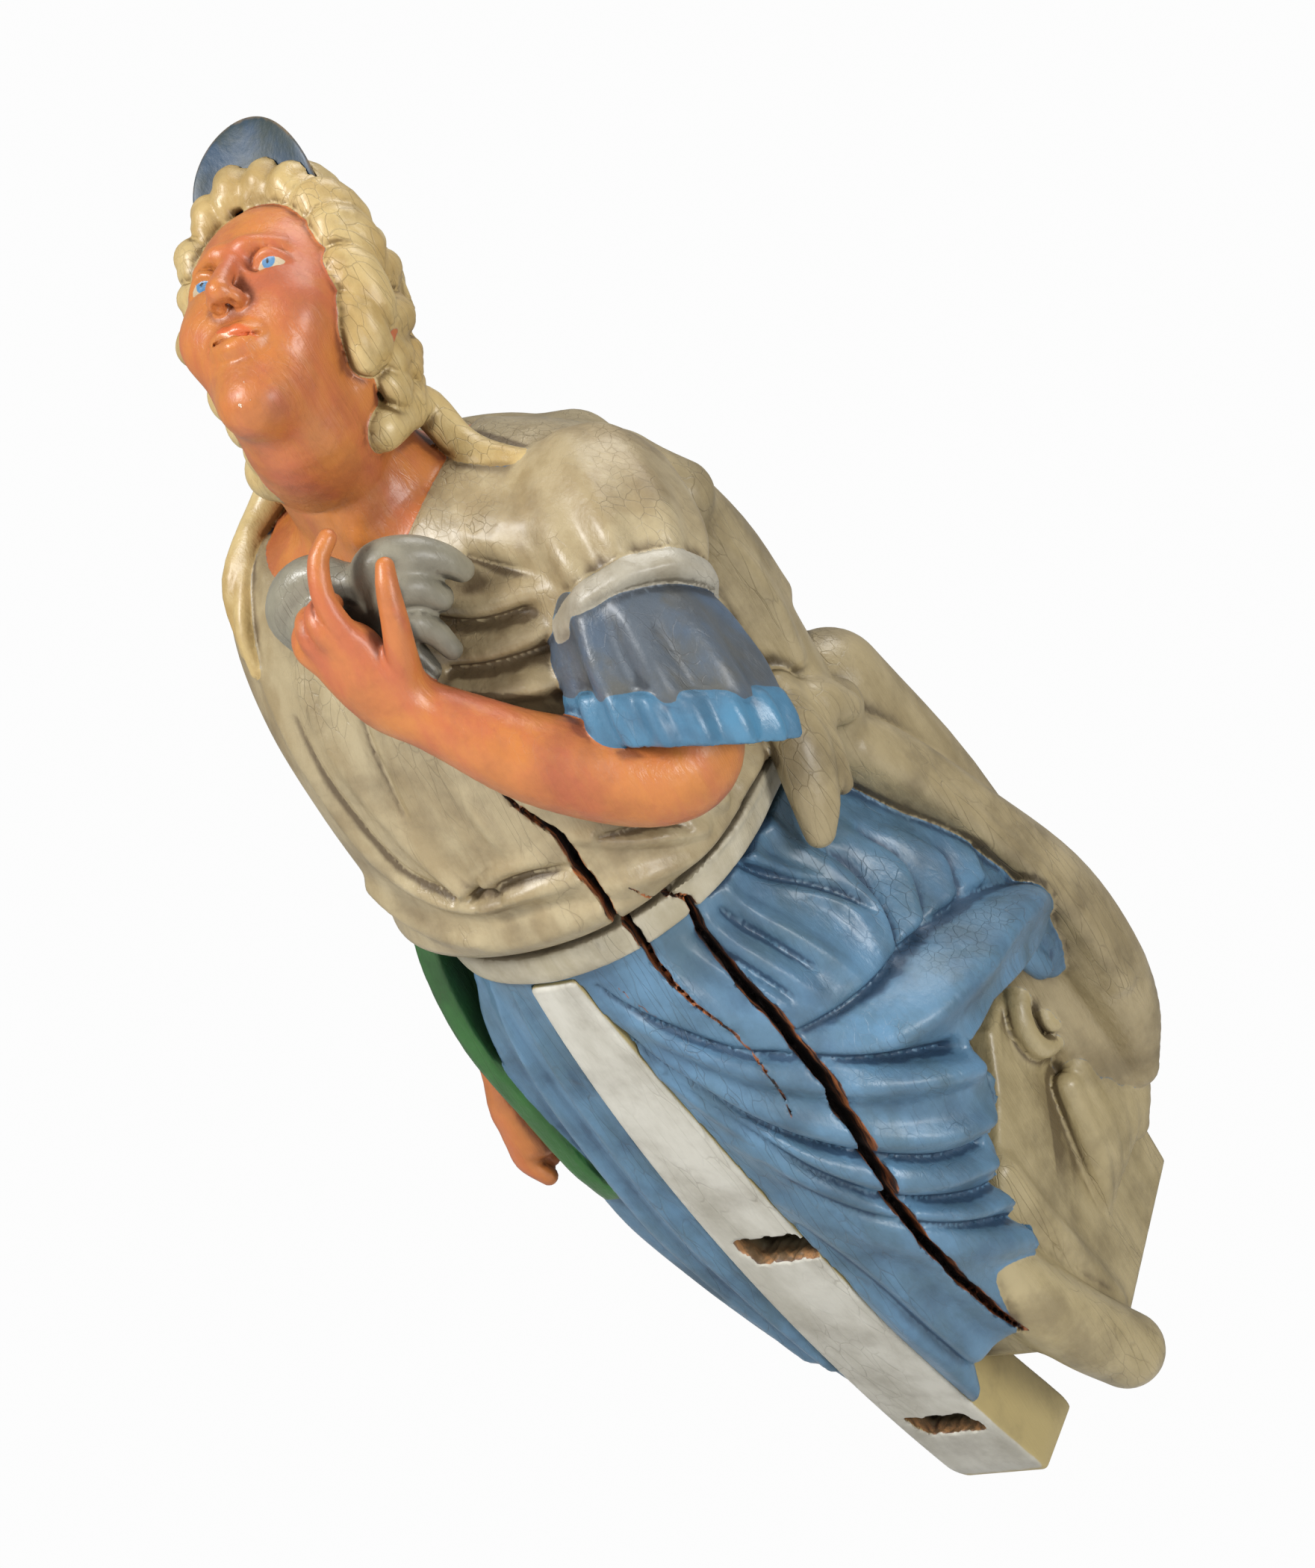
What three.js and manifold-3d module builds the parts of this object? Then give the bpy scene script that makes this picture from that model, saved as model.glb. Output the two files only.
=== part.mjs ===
// Ship figurehead: a carved woman leaning forward under the bowsprit.
// Lengths are millimetres. The carving is laid out in its own upright body frame:
// l = towards the figure's left, f = towards her front, u = up along her body from the waist.
// The finished group is then leant forward, +Z up, the figure facing -Y, with the origin on the
// flat back face that is bolted against the ship.
import * as THREE from "three";
import { mergeVertices } from "three/addons/utils/BufferGeometryUtils.js";
import Module from "manifold-3d";

// ---- driving dimensions -------------------------------------------------------------------
const LEAN_DEG = 45;          // lean of the body axis, forward from upright
const BACK_F = -320;          // flat back face, behind the body axis
const MOUNT_U = -300;         // height of the mount along the body axis
const HEM_U = -806;           // lowest point of the skirt
const TANG_U = -966;          // tip of the front timber
const BELT_U = -24;           // middle of the belt at the front
const BELT_RISE = 0.27;       // rise of the belt for each degree round her left side
const BELT_HALF = 18;         // half the belt's width
const TIMBER_TOP_U = -66;     // where the front timber starts under the belt
const TIMBER_L = -12;         // its middle line, a little to her right
const TIMBER_TOP_HALF = 27;   // its half width at the top
const TIMBER_GAIN = 32;       // how much the half width gains towards the foot
const TIMBER_GAIN_OVER = 300; // length over which it gains most of that
const TIMBER_DEPTH = 62;      // how deep it is let in at the top
const TANG_DEPTH = 98;        // depth of the squared tang
const BOLT_LONG = 82;         // bolt hole, across the timber
const BOLT_SHORT = 40;        // bolt hole, along the timber
const BOLT_DEPTH = 58;        // depth of the bolt holes
const BOLT_UPPER_U = -474;
const BOLT_LOWER_U = -836;
const FIT = 0.35;             // gap between separate pieces
const HEAD_SCALE = 1.18;      // the head against life size
const HEAD_TALL = 1.12;       // how much taller than that it is
const HEAD_AT = [2, -2, 614];
const HEAD_SIDES = 18;
const PANEL_LEFT = 176;       // half thickness of the scrolled base, left side
const PANEL_RIGHT = 132;      // and on the right side
const ROLL_RADIUS = 43;       // thick roll along the foot of the base
const FRONT_SIDES = 40;       // points round the carved front and sides of the body
const FRONT_FROM_DEG = -112;  // the carved part runs between these angles, 0 = front
const FRONT_TO_DEG = 120;
const BACK_SIDES = 6;         // points round the plain back
const FIGURE_TRIANGLES = 8300;
const EDGE_WEIGHT = 2e-4;     // keeps the lightened surface from growing long slivers

// ---- colours ------------------------------------------------------------------------------
const SKIRT_BLUE = 0x5c7f9f;
const TIMBER_WHITE = 0xd8d4c8;
const SLATE_BLUE = 0x3e4f58;

const wasm = await Module();
wasm.setup();

// ---- small helpers --------------------------------------------------------------------------
const toRad = (deg) => (deg * Math.PI) / 180;
const lerp = (a, b, t) => a + (b - a) * t;
const clamp = (x, lo, hi) => Math.min(hi, Math.max(lo, x));
const smooth = (t) => { const k = clamp(t, 0, 1); return k * k * (3 - 2 * k); };
/** Body frame (l, f, u) to the upright modelling axes. */
const at = (l, f, u) => new THREE.Vector3(l, -f, u);

/** Smooth interpolation of one column of a table whose rows start with their height. */
function column(table, u, index) {
  const last = table.length - 1;
  if (u >= table[0][0]) return table[0][index];
  if (u <= table[last][0]) return table[last][index];
  let row = 0;
  while (u < table[row + 1][0]) row += 1;
  const t = (table[row][0] - u) / (table[row][0] - table[row + 1][0]);
  const here = table[row][index];
  const next = table[row + 1][index];
  const before = table[Math.max(0, row - 1)][index];
  const after = table[Math.min(last, row + 2)][index];
  const m0 = (next - before) * 0.5 * (row > 0 ? 1 : 2) * 0.8;
  const m1 = (after - here) * 0.5 * (row + 2 <= last ? 1 : 2) * 0.8;
  const t2 = t * t;
  const t3 = t2 * t;
  const value = (2 * t3 - 3 * t2 + 1) * here + (t3 - 2 * t2 + t) * m0
    + (-2 * t3 + 3 * t2) * next + (t3 - t2) * m1;
  return clamp(value, Math.min(here, next) - 6, Math.max(here, next) + 6);
}

/** Closed solid through equal rings of points, capped by a fan at both ends. */
function loft(rings) {
  const count = rings[0].length;
  const positions = [];
  const faces = [];
  for (const ring of rings) for (const p of ring) positions.push(p.x, p.y, p.z);
  for (let r = 0; r + 1 < rings.length; r += 1) {
    for (let k = 0; k < count; k += 1) {
      const n = (k + 1) % count;
      const a = r * count + k;
      const b = r * count + n;
      const c = (r + 1) * count + n;
      const d = (r + 1) * count + k;
      faces.push(a, b, c, a, c, d);
    }
  }
  for (const end of [0, rings.length - 1]) {
    const middle = new THREE.Vector3();
    for (const p of rings[end]) middle.add(p);
    middle.divideScalar(count);
    const centre = positions.length / 3;
    positions.push(middle.x, middle.y, middle.z);
    for (let k = 0; k < count; k += 1) {
      const n = (k + 1) % count;
      if (end === 0) faces.push(centre, end * count + n, end * count + k);
      else faces.push(centre, end * count + k, end * count + n);
    }
  }
  const geometry = new THREE.BufferGeometry();
  geometry.setAttribute("position", new THREE.Float32BufferAttribute(positions, 3));
  geometry.setIndex(faces);
  return geometry;
}

/** A manifold solid from any closed geometry, turned the right way out. */
function solid(geometry) {
  const bare = geometry.clone();
  bare.deleteAttribute("normal");
  bare.deleteAttribute("uv");
  const merged = mergeVertices(bare, 1e-4);
  const vertProperties = new Float32Array(merged.attributes.position.array);
  const triVerts = new Uint32Array(merged.index.array);
  let volume = 0;
  for (let t = 0; t < triVerts.length; t += 3) {
    const [a, b, c] = [0, 1, 2].map((k) => new THREE.Vector3().fromArray(vertProperties, triVerts[t + k] * 3));
    volume += a.dot(b.cross(c));
  }
  if (volume < 0) {
    for (let t = 0; t < triVerts.length; t += 3) {
      [triVerts[t], triVerts[t + 1]] = [triVerts[t + 1], triVerts[t]];
    }
  }
  return new wasm.Manifold(new wasm.Mesh({ numProp: 3, vertProperties, triVerts }));
}

/** Merges edges that carry least shape until about `target` triangles are left. */
function lighten(manifold, target) {
  const mesh = manifold.getMesh();
  const count = mesh.vertProperties.length / 3;
  const points = Array.from({ length: count }, (_, k) => new THREE.Vector3().fromArray(mesh.vertProperties, k * 3));
  const faces = Array.from({ length: mesh.triVerts.length / 3 }, (_, k) => Array.from(mesh.triVerts.slice(3 * k, 3 * k + 3)));
  const alive = faces.map(() => true);
  const around = points.map(() => new Set());
  const quadrics = points.map(() => new Float64Array(10));
  const version = new Int32Array(count);
  const normalOf = (a, b, c) => new THREE.Vector3().crossVectors(b.clone().sub(a), c.clone().sub(a));
  faces.forEach((face, k) => {
    const [a, b, c] = face.map((v) => points[v]);
    const normal = normalOf(a, b, c);
    const weight = normal.length() || 1e-9;
    normal.divideScalar(weight);
    const d = -normal.dot(a);
    const [x, y, z] = normal.toArray();
    const terms = [x * x, x * y, x * z, x * d, y * y, y * z, y * d, z * z, z * d, d * d];
    for (const v of face) {
      around[v].add(k);
      for (let q = 0; q < 10; q += 1) quadrics[v][q] += terms[q] * weight;
    }
  });
  const costAt = (q, p) => q[0] * p.x * p.x + 2 * q[1] * p.x * p.y + 2 * q[2] * p.x * p.z + 2 * q[3] * p.x
    + q[4] * p.y * p.y + 2 * q[5] * p.y * p.z + 2 * q[6] * p.y + q[7] * p.z * p.z + 2 * q[8] * p.z + q[9];
  const heap = [];
  const swap = (i, j) => { [heap[i], heap[j]] = [heap[j], heap[i]]; };
  const push = (item) => {
    heap.push(item);
    let i = heap.length - 1;
    while (i > 0 && heap[(i - 1) >> 1].cost > heap[i].cost) { swap(i, (i - 1) >> 1); i = (i - 1) >> 1; }
  };
  const pop = () => {
    swap(0, heap.length - 1);
    const item = heap.pop();
    let i = 0;
    for (;;) {
      let small = i;
      for (const j of [2 * i + 1, 2 * i + 2]) if (j < heap.length && heap[j].cost < heap[small].cost) small = j;
      if (small === i) return item;
      swap(i, small);
      i = small;
    }
  };
  const offer = (a, b) => {
    const sum = quadrics[a].map((q, k) => q + quadrics[b][k]);
    const span = points[a].distanceToSquared(points[b]);
    const choices = [points[a], points[b], points[a].clone().lerp(points[b], 0.5)];
    let best = choices[0];
    let cost = Infinity;
    for (const p of choices) {
      const value = costAt(sum, p);
      if (value < cost) { cost = value; best = p; }
    }
    push({ cost: cost + EDGE_WEIGHT * span * span, a, b, p: best.clone(), va: version[a], vb: version[b] });
  };
  const neighbours = (v) => {
    const set = new Set();
    for (const k of around[v]) for (const w of faces[k]) if (w !== v) set.add(w);
    return set;
  };
  for (const face of faces) {
    for (let k = 0; k < 3; k += 1) if (face[k] < face[(k + 1) % 3]) offer(face[k], face[(k + 1) % 3]);
  }
  let left = faces.length;
  while (left > target && heap.length) {
    const { a, b, p, va, vb } = pop();
    if (version[a] !== va || version[b] !== vb) continue;
    const nearA = neighbours(a);
    const nearB = neighbours(b);
    const shared = [...nearA].filter((v) => nearB.has(v));
    if (shared.length !== 2) continue;
    let flips = false;
    for (const [from, other] of [[a, b], [b, a]]) {
      for (const k of around[from]) {
        if (faces[k].includes(other)) continue;
        const before = normalOf(...faces[k].map((v) => points[v]));
        const after = normalOf(...faces[k].map((v) => (v === from ? p : points[v])));
        if (before.dot(after) < 0.35 * before.length() * after.length() || after.length() < 1e-3) flips = true;
      }
    }
    if (flips) continue;
    points[a].copy(p);
    for (const k of [...around[b]]) {
      if (faces[k].includes(a)) {
        alive[k] = false;
        left -= 1;
        for (const v of faces[k]) around[v].delete(k);
      } else {
        faces[k] = faces[k].map((v) => (v === b ? a : v));
        around[a].add(k);
      }
    }
    around[b].clear();
    version[b] = -1;
    version[a] += 1;
    quadrics[b].forEach((q, k) => { quadrics[a][k] += q; });
    for (const v of neighbours(a)) offer(Math.min(a, v), Math.max(a, v));
  }
  const geometry = new THREE.BufferGeometry();
  geometry.setAttribute("position", new THREE.Float32BufferAttribute(points.flatMap((q) => q.toArray()), 3));
  geometry.setIndex(faces.filter((_, k) => alive[k]).flat());
  return solid(geometry);
}

function geometryOf(manifold) {
  const mesh = manifold.getMesh();
  const geometry = new THREE.BufferGeometry();
  geometry.setAttribute("position", new THREE.Float32BufferAttribute(mesh.vertProperties, 3));
  geometry.setIndex(Array.from(mesh.triVerts));
  geometry.computeVertexNormals();
  return geometry;
}

/** Rounded bar through points [l, f, u, half width, half height], the width lying along `wide`. */
function sweep(path, sides = 10, wide = [0, 0, 1], steps = 1, roundStart = true, roundEnd = true) {
  const curve = new THREE.CatmullRomCurve3(path.map((p) => at(p[0], p[1], p[2])), false, "centripetal");
  const count = (path.length - 1) * steps;
  const wideAxis = at(...wide).normalize();
  const rings = [];
  const ringAt = (t, shrink, push) => {
    const centre = curve.getPoint(t);
    const along = curve.getTangent(t).normalize();
    const side = wideAxis.clone().sub(along.clone().multiplyScalar(wideAxis.dot(along))).normalize();
    const up = new THREE.Vector3().crossVectors(along, side);
    const s = t * (path.length - 1);
    const i = Math.min(path.length - 2, Math.floor(s));
    const halfWide = lerp(path[i][3], path[i + 1][3], s - i) * shrink;
    const halfHigh = lerp(path[i][4], path[i + 1][4], s - i) * shrink;
    centre.add(along.clone().multiplyScalar(push * Math.min(halfWide, halfHigh) / shrink));
    const ring = [];
    for (let k = 0; k < sides; k += 1) {
      const angle = (2 * Math.PI * k) / sides;
      ring.push(centre.clone()
        .add(side.clone().multiplyScalar(Math.cos(angle) * halfWide))
        .add(up.clone().multiplyScalar(Math.sin(angle) * halfHigh)));
    }
    rings.push(ring);
  };
  if (roundStart) ringAt(0, 0.55, -0.7);
  for (let s = 0; s <= count; s += 1) ringAt(s / count, 1, 0);
  if (roundEnd) ringAt(1, 0.55, 0.7);
  return solid(loft(rings));
}

/** Ball or egg: centre and three half sizes along l, f, u. */
function egg(l, f, u, rl, rf, ru, detail = 10, turn = [0, 0, 0]) {
  const geometry = new THREE.SphereGeometry(1, detail, Math.max(5, Math.round(detail * 0.6)));
  geometry.scale(rl, rf, ru);
  geometry.rotateX(toRad(turn[0]));
  geometry.rotateY(toRad(turn[1]));
  geometry.rotateZ(toRad(turn[2]));
  geometry.translate(l, -f, u);
  return solid(geometry);
}

// ---- the body: torso and skirt -------------------------------------------------------------
/** The front line of the skirt and its timber, which curves back towards the foot. */
const frontLine = (u) => {
  const t = -u;
  return 171 - 0.06 * (t - 40) - 0.00015 * (t * t - 1600);
};

// height, half width left, half width right, front, back, squareness
const BODY = [
  [452, 90, 100, 66, -86, 2.0],
  [430, 150, 160, 84, -110, 2.1],
  [400, 196, 212, 104, -140, 2.3],
  [345, 222, 226, 142, -190, 2.5],
  [270, 222, 222, 180, -250, 2.5],
  [180, 214, 214, 196, -300, 2.5],
  [100, 206, 206, 200, -330, 2.5],
  [40, 200, 200, 196, -345, 2.5],
  [8, 196, 194, 188, -350, 2.4],
  [-14, 180, 176, 168, -350, 2.3],
  [-70, 184, 180, 168, -350, 2.3],
  [-110, 206, 196, 164, -350, 2.4],
  [-190, 246, 212, 152, -350, 2.5],
  [-290, 282, 216, 138, -350, 2.6],
  [-380, 280, 214, 127, -350, 2.7],
  [-440, 240, 208, 118, -350, 2.8],
  [-520, 210, 192, 104, -350, 2.8],
  [-610, 190, 170, 86, -350, 2.9],
  [-700, 168, 146, 62, -350, 3.0],
  [-780, 140, 122, 38, -350, 3.0],
  [HEM_U, 128, 112, 30, -350, 3.0],
];

/** Depth of one carved fold: a rounded ridge between two valleys. */
const ridge = (offset, width) => {
  const t = Math.abs(offset) / width;
  if (t > 1.6) return 0;
  return Math.cos(t * Math.PI * 0.5);
};

// skirt folds: angle round the body under the belt, angle at the hem, width, height (0 = front, + = left)
const SKIRT_FOLDS = [
  [24, 34, 7, 10], [38, 50, 7, 12], [54, 64, 8, 14], [72, 76, 8, 15], [92, 86, 9, 16],
  [112, 98, 9, 14], [-26, -34, 7, 10], [-44, -52, 8, 12], [-64, -70, 8, 13], [-88, -90, 9, 13],
  [-114, -112, 10, 10],
];
// blouse folds: angle at the shoulder, angle over the belt, width, height
const BLOUSE_FOLDS = [
  [-18, -10, 8, 7], [-44, -32, 9, 8], [-70, -58, 9, 8], [20, 16, 8, 6], [52, 40, 8, 7],
  [86, 68, 9, 8], [112, 96, 9, 8], [-100, -88, 10, 7],
];

function foldHeight(angle, u) {
  let height = 0;
  if (u < -70) {
    const t = clamp((-70 - u) / (-70 - HEM_U), 0, 1);
    for (const [top, low, width, amount] of SKIRT_FOLDS) {
      const sway = lerp(top, low, smooth(t));
      height += amount * lerp(0.35, 1.35, t) * ridge(angle - sway, width) * smooth((-72 - u) / 50);
    }
  }
  if (u > -5 && u < 400) {
    const t = clamp((400 - u) / 400, 0, 1);
    for (const [top, low, width, amount] of BLOUSE_FOLDS) {
      height += amount * ridge(angle - lerp(top, low, t), width) * Math.sin(Math.PI * clamp(t, 0, 1)) ** 0.6;
    }
    height += 7 * smooth((40 - Math.abs(u - 22)) / 30) * (0.6 + 0.4 * Math.cos(toRad(angle * 7)));
  }
  return height;
}

const BODY_ANGLES = [];
for (let k = 0; k <= FRONT_SIDES; k += 1) BODY_ANGLES.push(lerp(FRONT_FROM_DEG, FRONT_TO_DEG, k / FRONT_SIDES));
for (let k = 1; k <= BACK_SIDES; k += 1) {
  BODY_ANGLES.push(lerp(FRONT_TO_DEG, FRONT_FROM_DEG + 360, k / (BACK_SIDES + 1)));
}

function bodyRing(u) {
  const left = column(BODY, u, 1);
  const right = column(BODY, u, 2);
  const front = u < -70 ? frontLine(u) : column(BODY, u, 3);
  const back = column(BODY, u, 4);
  const power = 2 / column(BODY, u, 5);
  const middle = lerp(front, back, 0.5) * 0.35 + (front - 150) * 0.35;
  const ring = [];
  for (const angle of BODY_ANGLES) {
    const sin = Math.sin(toRad(angle));
    const cos = Math.cos(toRad(angle));
    const fold = foldHeight(angle, u);
    const l = Math.sign(sin) * Math.abs(sin) ** power * (sin > 0 ? left : right);
    const f = Math.sign(cos) * Math.abs(cos) ** power * (cos > 0 ? front - middle : middle - back);
    const length = Math.hypot(l, f) || 1;
    ring.push(at(l + (l / length) * fold, middle + f + (f / length) * fold, u));
  }
  return ring;
}

function buildBody() {
  const heights = [452, 438, 420, 395, 360, 315, 265, 215, 165, 120, 80, 48, 24, 8, -8, -22, -66, -90, -130,
    -180, -235, -290, -345, -390, -425, -465, -515, -570, -630, -690, -745, -785, HEM_U];
  return solid(loft(heights.map(bodyRing)));
}

/** Plain band standing proud of the waist. */
function buildBelt() {
  const waist = bodyRing(-40);
  const band = (off, grow) => waist.map((p, k) => {
    const out = new THREE.Vector3(p.x, p.y, 0).setLength(Math.hypot(p.x, p.y) + grow);
    const rise = BELT_RISE * clamp(BODY_ANGLES[k], 0, 90) * (BODY_ANGLES[k] > FRONT_TO_DEG ? 0.7 : 1);
    return new THREE.Vector3(out.x, out.y, BELT_U + rise + off);
  });
  return solid(loft([
    band(BELT_HALF + 4, -8), band(BELT_HALF, 7), band(0, 9), band(-BELT_HALF, 7), band(-BELT_HALF - 4, -8),
  ]));
}

// ---- head, neck and hair ---------------------------------------------------------------------
// axes of the head in (l, f, u): towards her left ear, out through the face, up through the crown
const FACE = new THREE.Vector3(0.097, 0.426, 0.9).normalize();
const EAR = new THREE.Vector3(0.981, -0.192, -0.014).normalize();
const CROWN = new THREE.Vector3().crossVectors(FACE, EAR).normalize().negate();
EAR.crossVectors(FACE, CROWN).normalize();

/** A point given in the head's own axes (ear, face, crown), as (l, f, u). */
function inHead(ear, face, crown) {
  const p = new THREE.Vector3(...HEAD_AT)
    .addScaledVector(EAR, ear * HEAD_SCALE)
    .addScaledVector(FACE, face * HEAD_SCALE)
    .addScaledVector(CROWN, crown * HEAD_SCALE * HEAD_TALL);
  return [p.x, p.y, p.z];
}

// height, half width, face side, back side
const HEAD = [
  [118, 20, 22, -42], [106, 48, 52, -70], [86, 66, 74, -92], [56, 76, 88, -104], [26, 77, 92, -106],
  [0, 75, 88, -100], [-24, 71, 87, -88], [-48, 65, 88, -66], [-72, 56, 88, -40], [-92, 44, 88, -12],
  [-106, 30, 84, 14], [-114, 14, 74, 36],
];

function buildHead() {
  const rings = HEAD.map(([crown, half, front, back]) => {
    const ring = [];
    const middle = lerp(front, back, 0.52);
    for (let k = 0; k < HEAD_SIDES; k += 1) {
      const angle = (2 * Math.PI * k) / HEAD_SIDES;
      const sin = Math.sin(angle);
      const cos = Math.cos(angle);
      const face = middle + (cos > 0 ? (front - middle) : (middle - back)) * Math.sign(cos) * Math.abs(cos) ** 0.85;
      ring.push(at(...inHead(half * Math.sign(sin) * Math.abs(sin) ** 0.9, face, crown)));
    }
    return ring;
  });
  return solid(loft(rings));
}

function headEgg(ear, face, crown, re, rf, rc, detail = 6) {
  const geometry = new THREE.SphereGeometry(1, detail, Math.max(4, Math.round(detail * 0.7)));
  geometry.scale(re * HEAD_SCALE, rf * HEAD_SCALE, rc * HEAD_SCALE * HEAD_TALL);
  const turn = new THREE.Matrix4().makeBasis(at(...EAR.toArray()), at(...FACE.toArray()), at(...CROWN.toArray()));
  if (turn.determinant() < 0) turn.scale(new THREE.Vector3(-1, 1, 1));
  geometry.applyMatrix4(turn);
  geometry.translate(...at(...inHead(ear, face, crown)).toArray());
  return solid(geometry);
}

function buildFace() {
  const nose = sweep([
    [...inHead(0, 84, 22), 7, 7], [...inHead(0, 94, 4), 9, 9], [...inHead(0, 104, -16), 13, 11],
  ], 6, EAR.toArray(), 1);
  const brow = [1, -1].map((side) => headEgg(26 * side, 80, 28, 24, 10, 7));
  const lips = headEgg(0, 88, -52, 22, 9, 9);
  const chin = headEgg(0, 84, -92, 20, 14, 15);
  const ear = headEgg(76, -8, -20, 7, 14, 22);
  return [nose, ...brow, lips, chin, ear];
}

function buildHair() {
  const pieces = [headEgg(0, -24, 32, 80, 92, 86, 14), headEgg(0, -56, -30, 66, 60, 70, 10)];
  const CURLS = 9;
  for (let k = 0; k < CURLS; k += 1) {
    const t = k / (CURLS - 1);
    const angle = toRad(lerp(-104, 104, t));
    const size = 17 + 3 * Math.sin(k * 2.4);
    pieces.push(headEgg(72 * Math.sin(angle), 46 - 24 * (1 - Math.cos(angle)), 10 + 82 * Math.cos(angle), size, size, size, 7));
  }
  for (const side of [1, -1]) {
    for (let k = 0; k < 3; k += 1) {
      pieces.push(headEgg(side * (74 - 8 * k), -14 - 16 * k, -22 - 28 * k, 15, 24, 17, 8));
    }
  }
  return pieces;
}

function buildNeckAndLocks() {
  const neck = sweep([
    [-2, 0, 392, 84, 84], [-6, 16, 448, 74, 74], [-10, 22, 496, 68, 68], [...inHead(0, -14, -66), 60, 60],
    [...inHead(0, -8, -30), 56, 56],
  ], 14, [1, 0, 0], 2, false, true);
  const leftLock = sweep([
    [...inHead(52, -48, -70), 22, 22], [66, -30, 498, 19, 19], [90, -22, 452, 17, 17], [128, -12, 430, 15, 15],
    [188, -8, 408, 11, 11],
  ], 8, [1, 0, 0], 1);
  const rightLock = sweep([
    [...inHead(-58, -66, -60), 30, 26], [-84, -44, 490, 26, 22], [-136, -10, 452, 17, 17], [-170, 60, 412, 12, 12],
    [-170, 96, 352, 10, 10],
  ], 8, [1, 0, 0], 1);
  return [neck, leftLock, rightLock];
}

// ---- left arm and sleeve --------------------------------------------------------------------
const SHOULDER = [190, -14, 360];
const BAND = [240, 72, 296];
const CUFF = [254, 112, 206];
const ELBOW = [250, 138, 160];
const WRIST = [62, 220, 338];
const HAND_SHIFT = [8, -6, -14];

/** Sleeve of pleated cloth along a straight axis; profile rows are [along, radius, pleat depth]. */
function pleated(start, end, profile, pleats, sides, squash) {
  const a = at(...start);
  const b = at(...end);
  const along = b.clone().sub(a);
  const length = along.length();
  along.normalize();
  const side = new THREE.Vector3(0, 0, 1).cross(along).normalize();
  const up = new THREE.Vector3().crossVectors(along, side);
  const rings = profile.map(([t, radius, depth]) => {
    const ring = [];
    for (let k = 0; k < sides; k += 1) {
      const angle = (2 * Math.PI * k) / sides;
      const r = radius + depth * Math.cos(angle * pleats + t * 2);
      ring.push(a.clone().addScaledVector(along, t * length)
        .addScaledVector(side, Math.cos(angle) * r)
        .addScaledVector(up, Math.sin(angle) * r * squash));
    }
    return ring;
  });
  return solid(loft(rings));
}

function buildLeftArm() {
  const puff = pleated(SHOULDER, BAND, [
    [-0.6, 20, 0], [-0.45, 56, 1], [-0.15, 78, 1], [0.2, 86, 2], [0.55, 86, 4], [0.8, 80, 5], [1.02, 68, 3],
  ], 9, 27, 0.97);
  const band = pleated(SHOULDER, BAND, [[0.95, 66, 0], [0.98, 75, 0], [1.12, 76, 0], [1.15, 66, 0]], 9, 20, 0.97);
  const cuff = pleated(BAND, CUFF, [
    [0.05, 66, 0], [0.2, 76, 3], [0.5, 84, 5], [0.8, 92, 5], [1.0, 95, 6], [1.18, 91, 5], [1.14, 60, 2],
  ], 9, 36, 0.95);
  const arm = sweep([
    [...BAND, 46, 46], [258, 112, 200, 48, 48], [...ELBOW, 50, 50], [214, 168, 174, 49, 49],
    [150, 200, 234, 43, 43], [98, 212, 294, 34, 34], [...WRIST, 28, 27],
  ], 12, [0.6, 0, 0.8], 1);
  return [puff, band, cuff, arm];
}

function buildLeftHand() {
  const shifted = (p) => p.map((value, k) => value + (HAND_SHIFT[k] ?? 0));
  const palm = sweep([
    [...WRIST, 28, 25], shifted([48, 226, 386, 36, 25]), shifted([38, 224, 408, 42, 25]), shifted([30, 218, 436, 40, 21]),
  ], 10, [1, 0, 0.35], 1);
  const finger = (points, radius) => sweep(points.map((p, k) => {
    const thick = radius * (1 - 0.1 * k);
    return [...shifted(p), thick, thick];
  }), 6, [1, 0, 0], 1);
  return [
    palm,
    finger([[48, 218, 440], [44, 226, 474], [50, 214, 504], [62, 196, 516]], 12),
    finger([[72, 222, 400], [92, 222, 428], [100, 212, 458], [102, 198, 478]], 13),
    finger([[30, 224, 440], [22, 230, 462], [20, 212, 470], [24, 194, 462]], 12),
    finger([[14, 222, 436], [4, 226, 454], [2, 208, 460], [8, 192, 450]], 12),
    finger([[0, 218, 426], [-12, 220, 438], [-14, 202, 442], [-6, 188, 432]], 11),
  ];
}

// ---- right arm, hand and palm leaf ---------------------------------------------------------
/** Long palm leaf lying along the right hip, ribbed along its length. */
function buildLeaf() {
  const RIBS = 4;
  const MIDRIB = [
    [-190, 98, 30, 18], [-206, 112, -40, 34], [-214, 124, -140, 44], [-208, 134, -250, 40], [-190, 138, -330, 26],
    [-176, 130, -396, 8],
  ];
  const THICKNESS = 13;
  const rings = MIDRIB.map(([l, f, u, half]) => {
    const ring = [];
    const points = 2 * RIBS + 1;
    for (let k = 0; k < points; k += 1) {
      const t = (2 * k) / (points - 1) - 1;
      const proud = k % 2 ? 5 : 0;
      ring.push(at(l - THICKNESS * (1 - t * t) - proud + 16 * Math.max(0, t) ** 2, f + half * t, u));
    }
    ring.push(at(l + 18, f + half * 0.7, u), at(l + 18, f - half * 0.7, u));
    return ring;
  });
  return solid(loft(rings));
}

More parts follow.
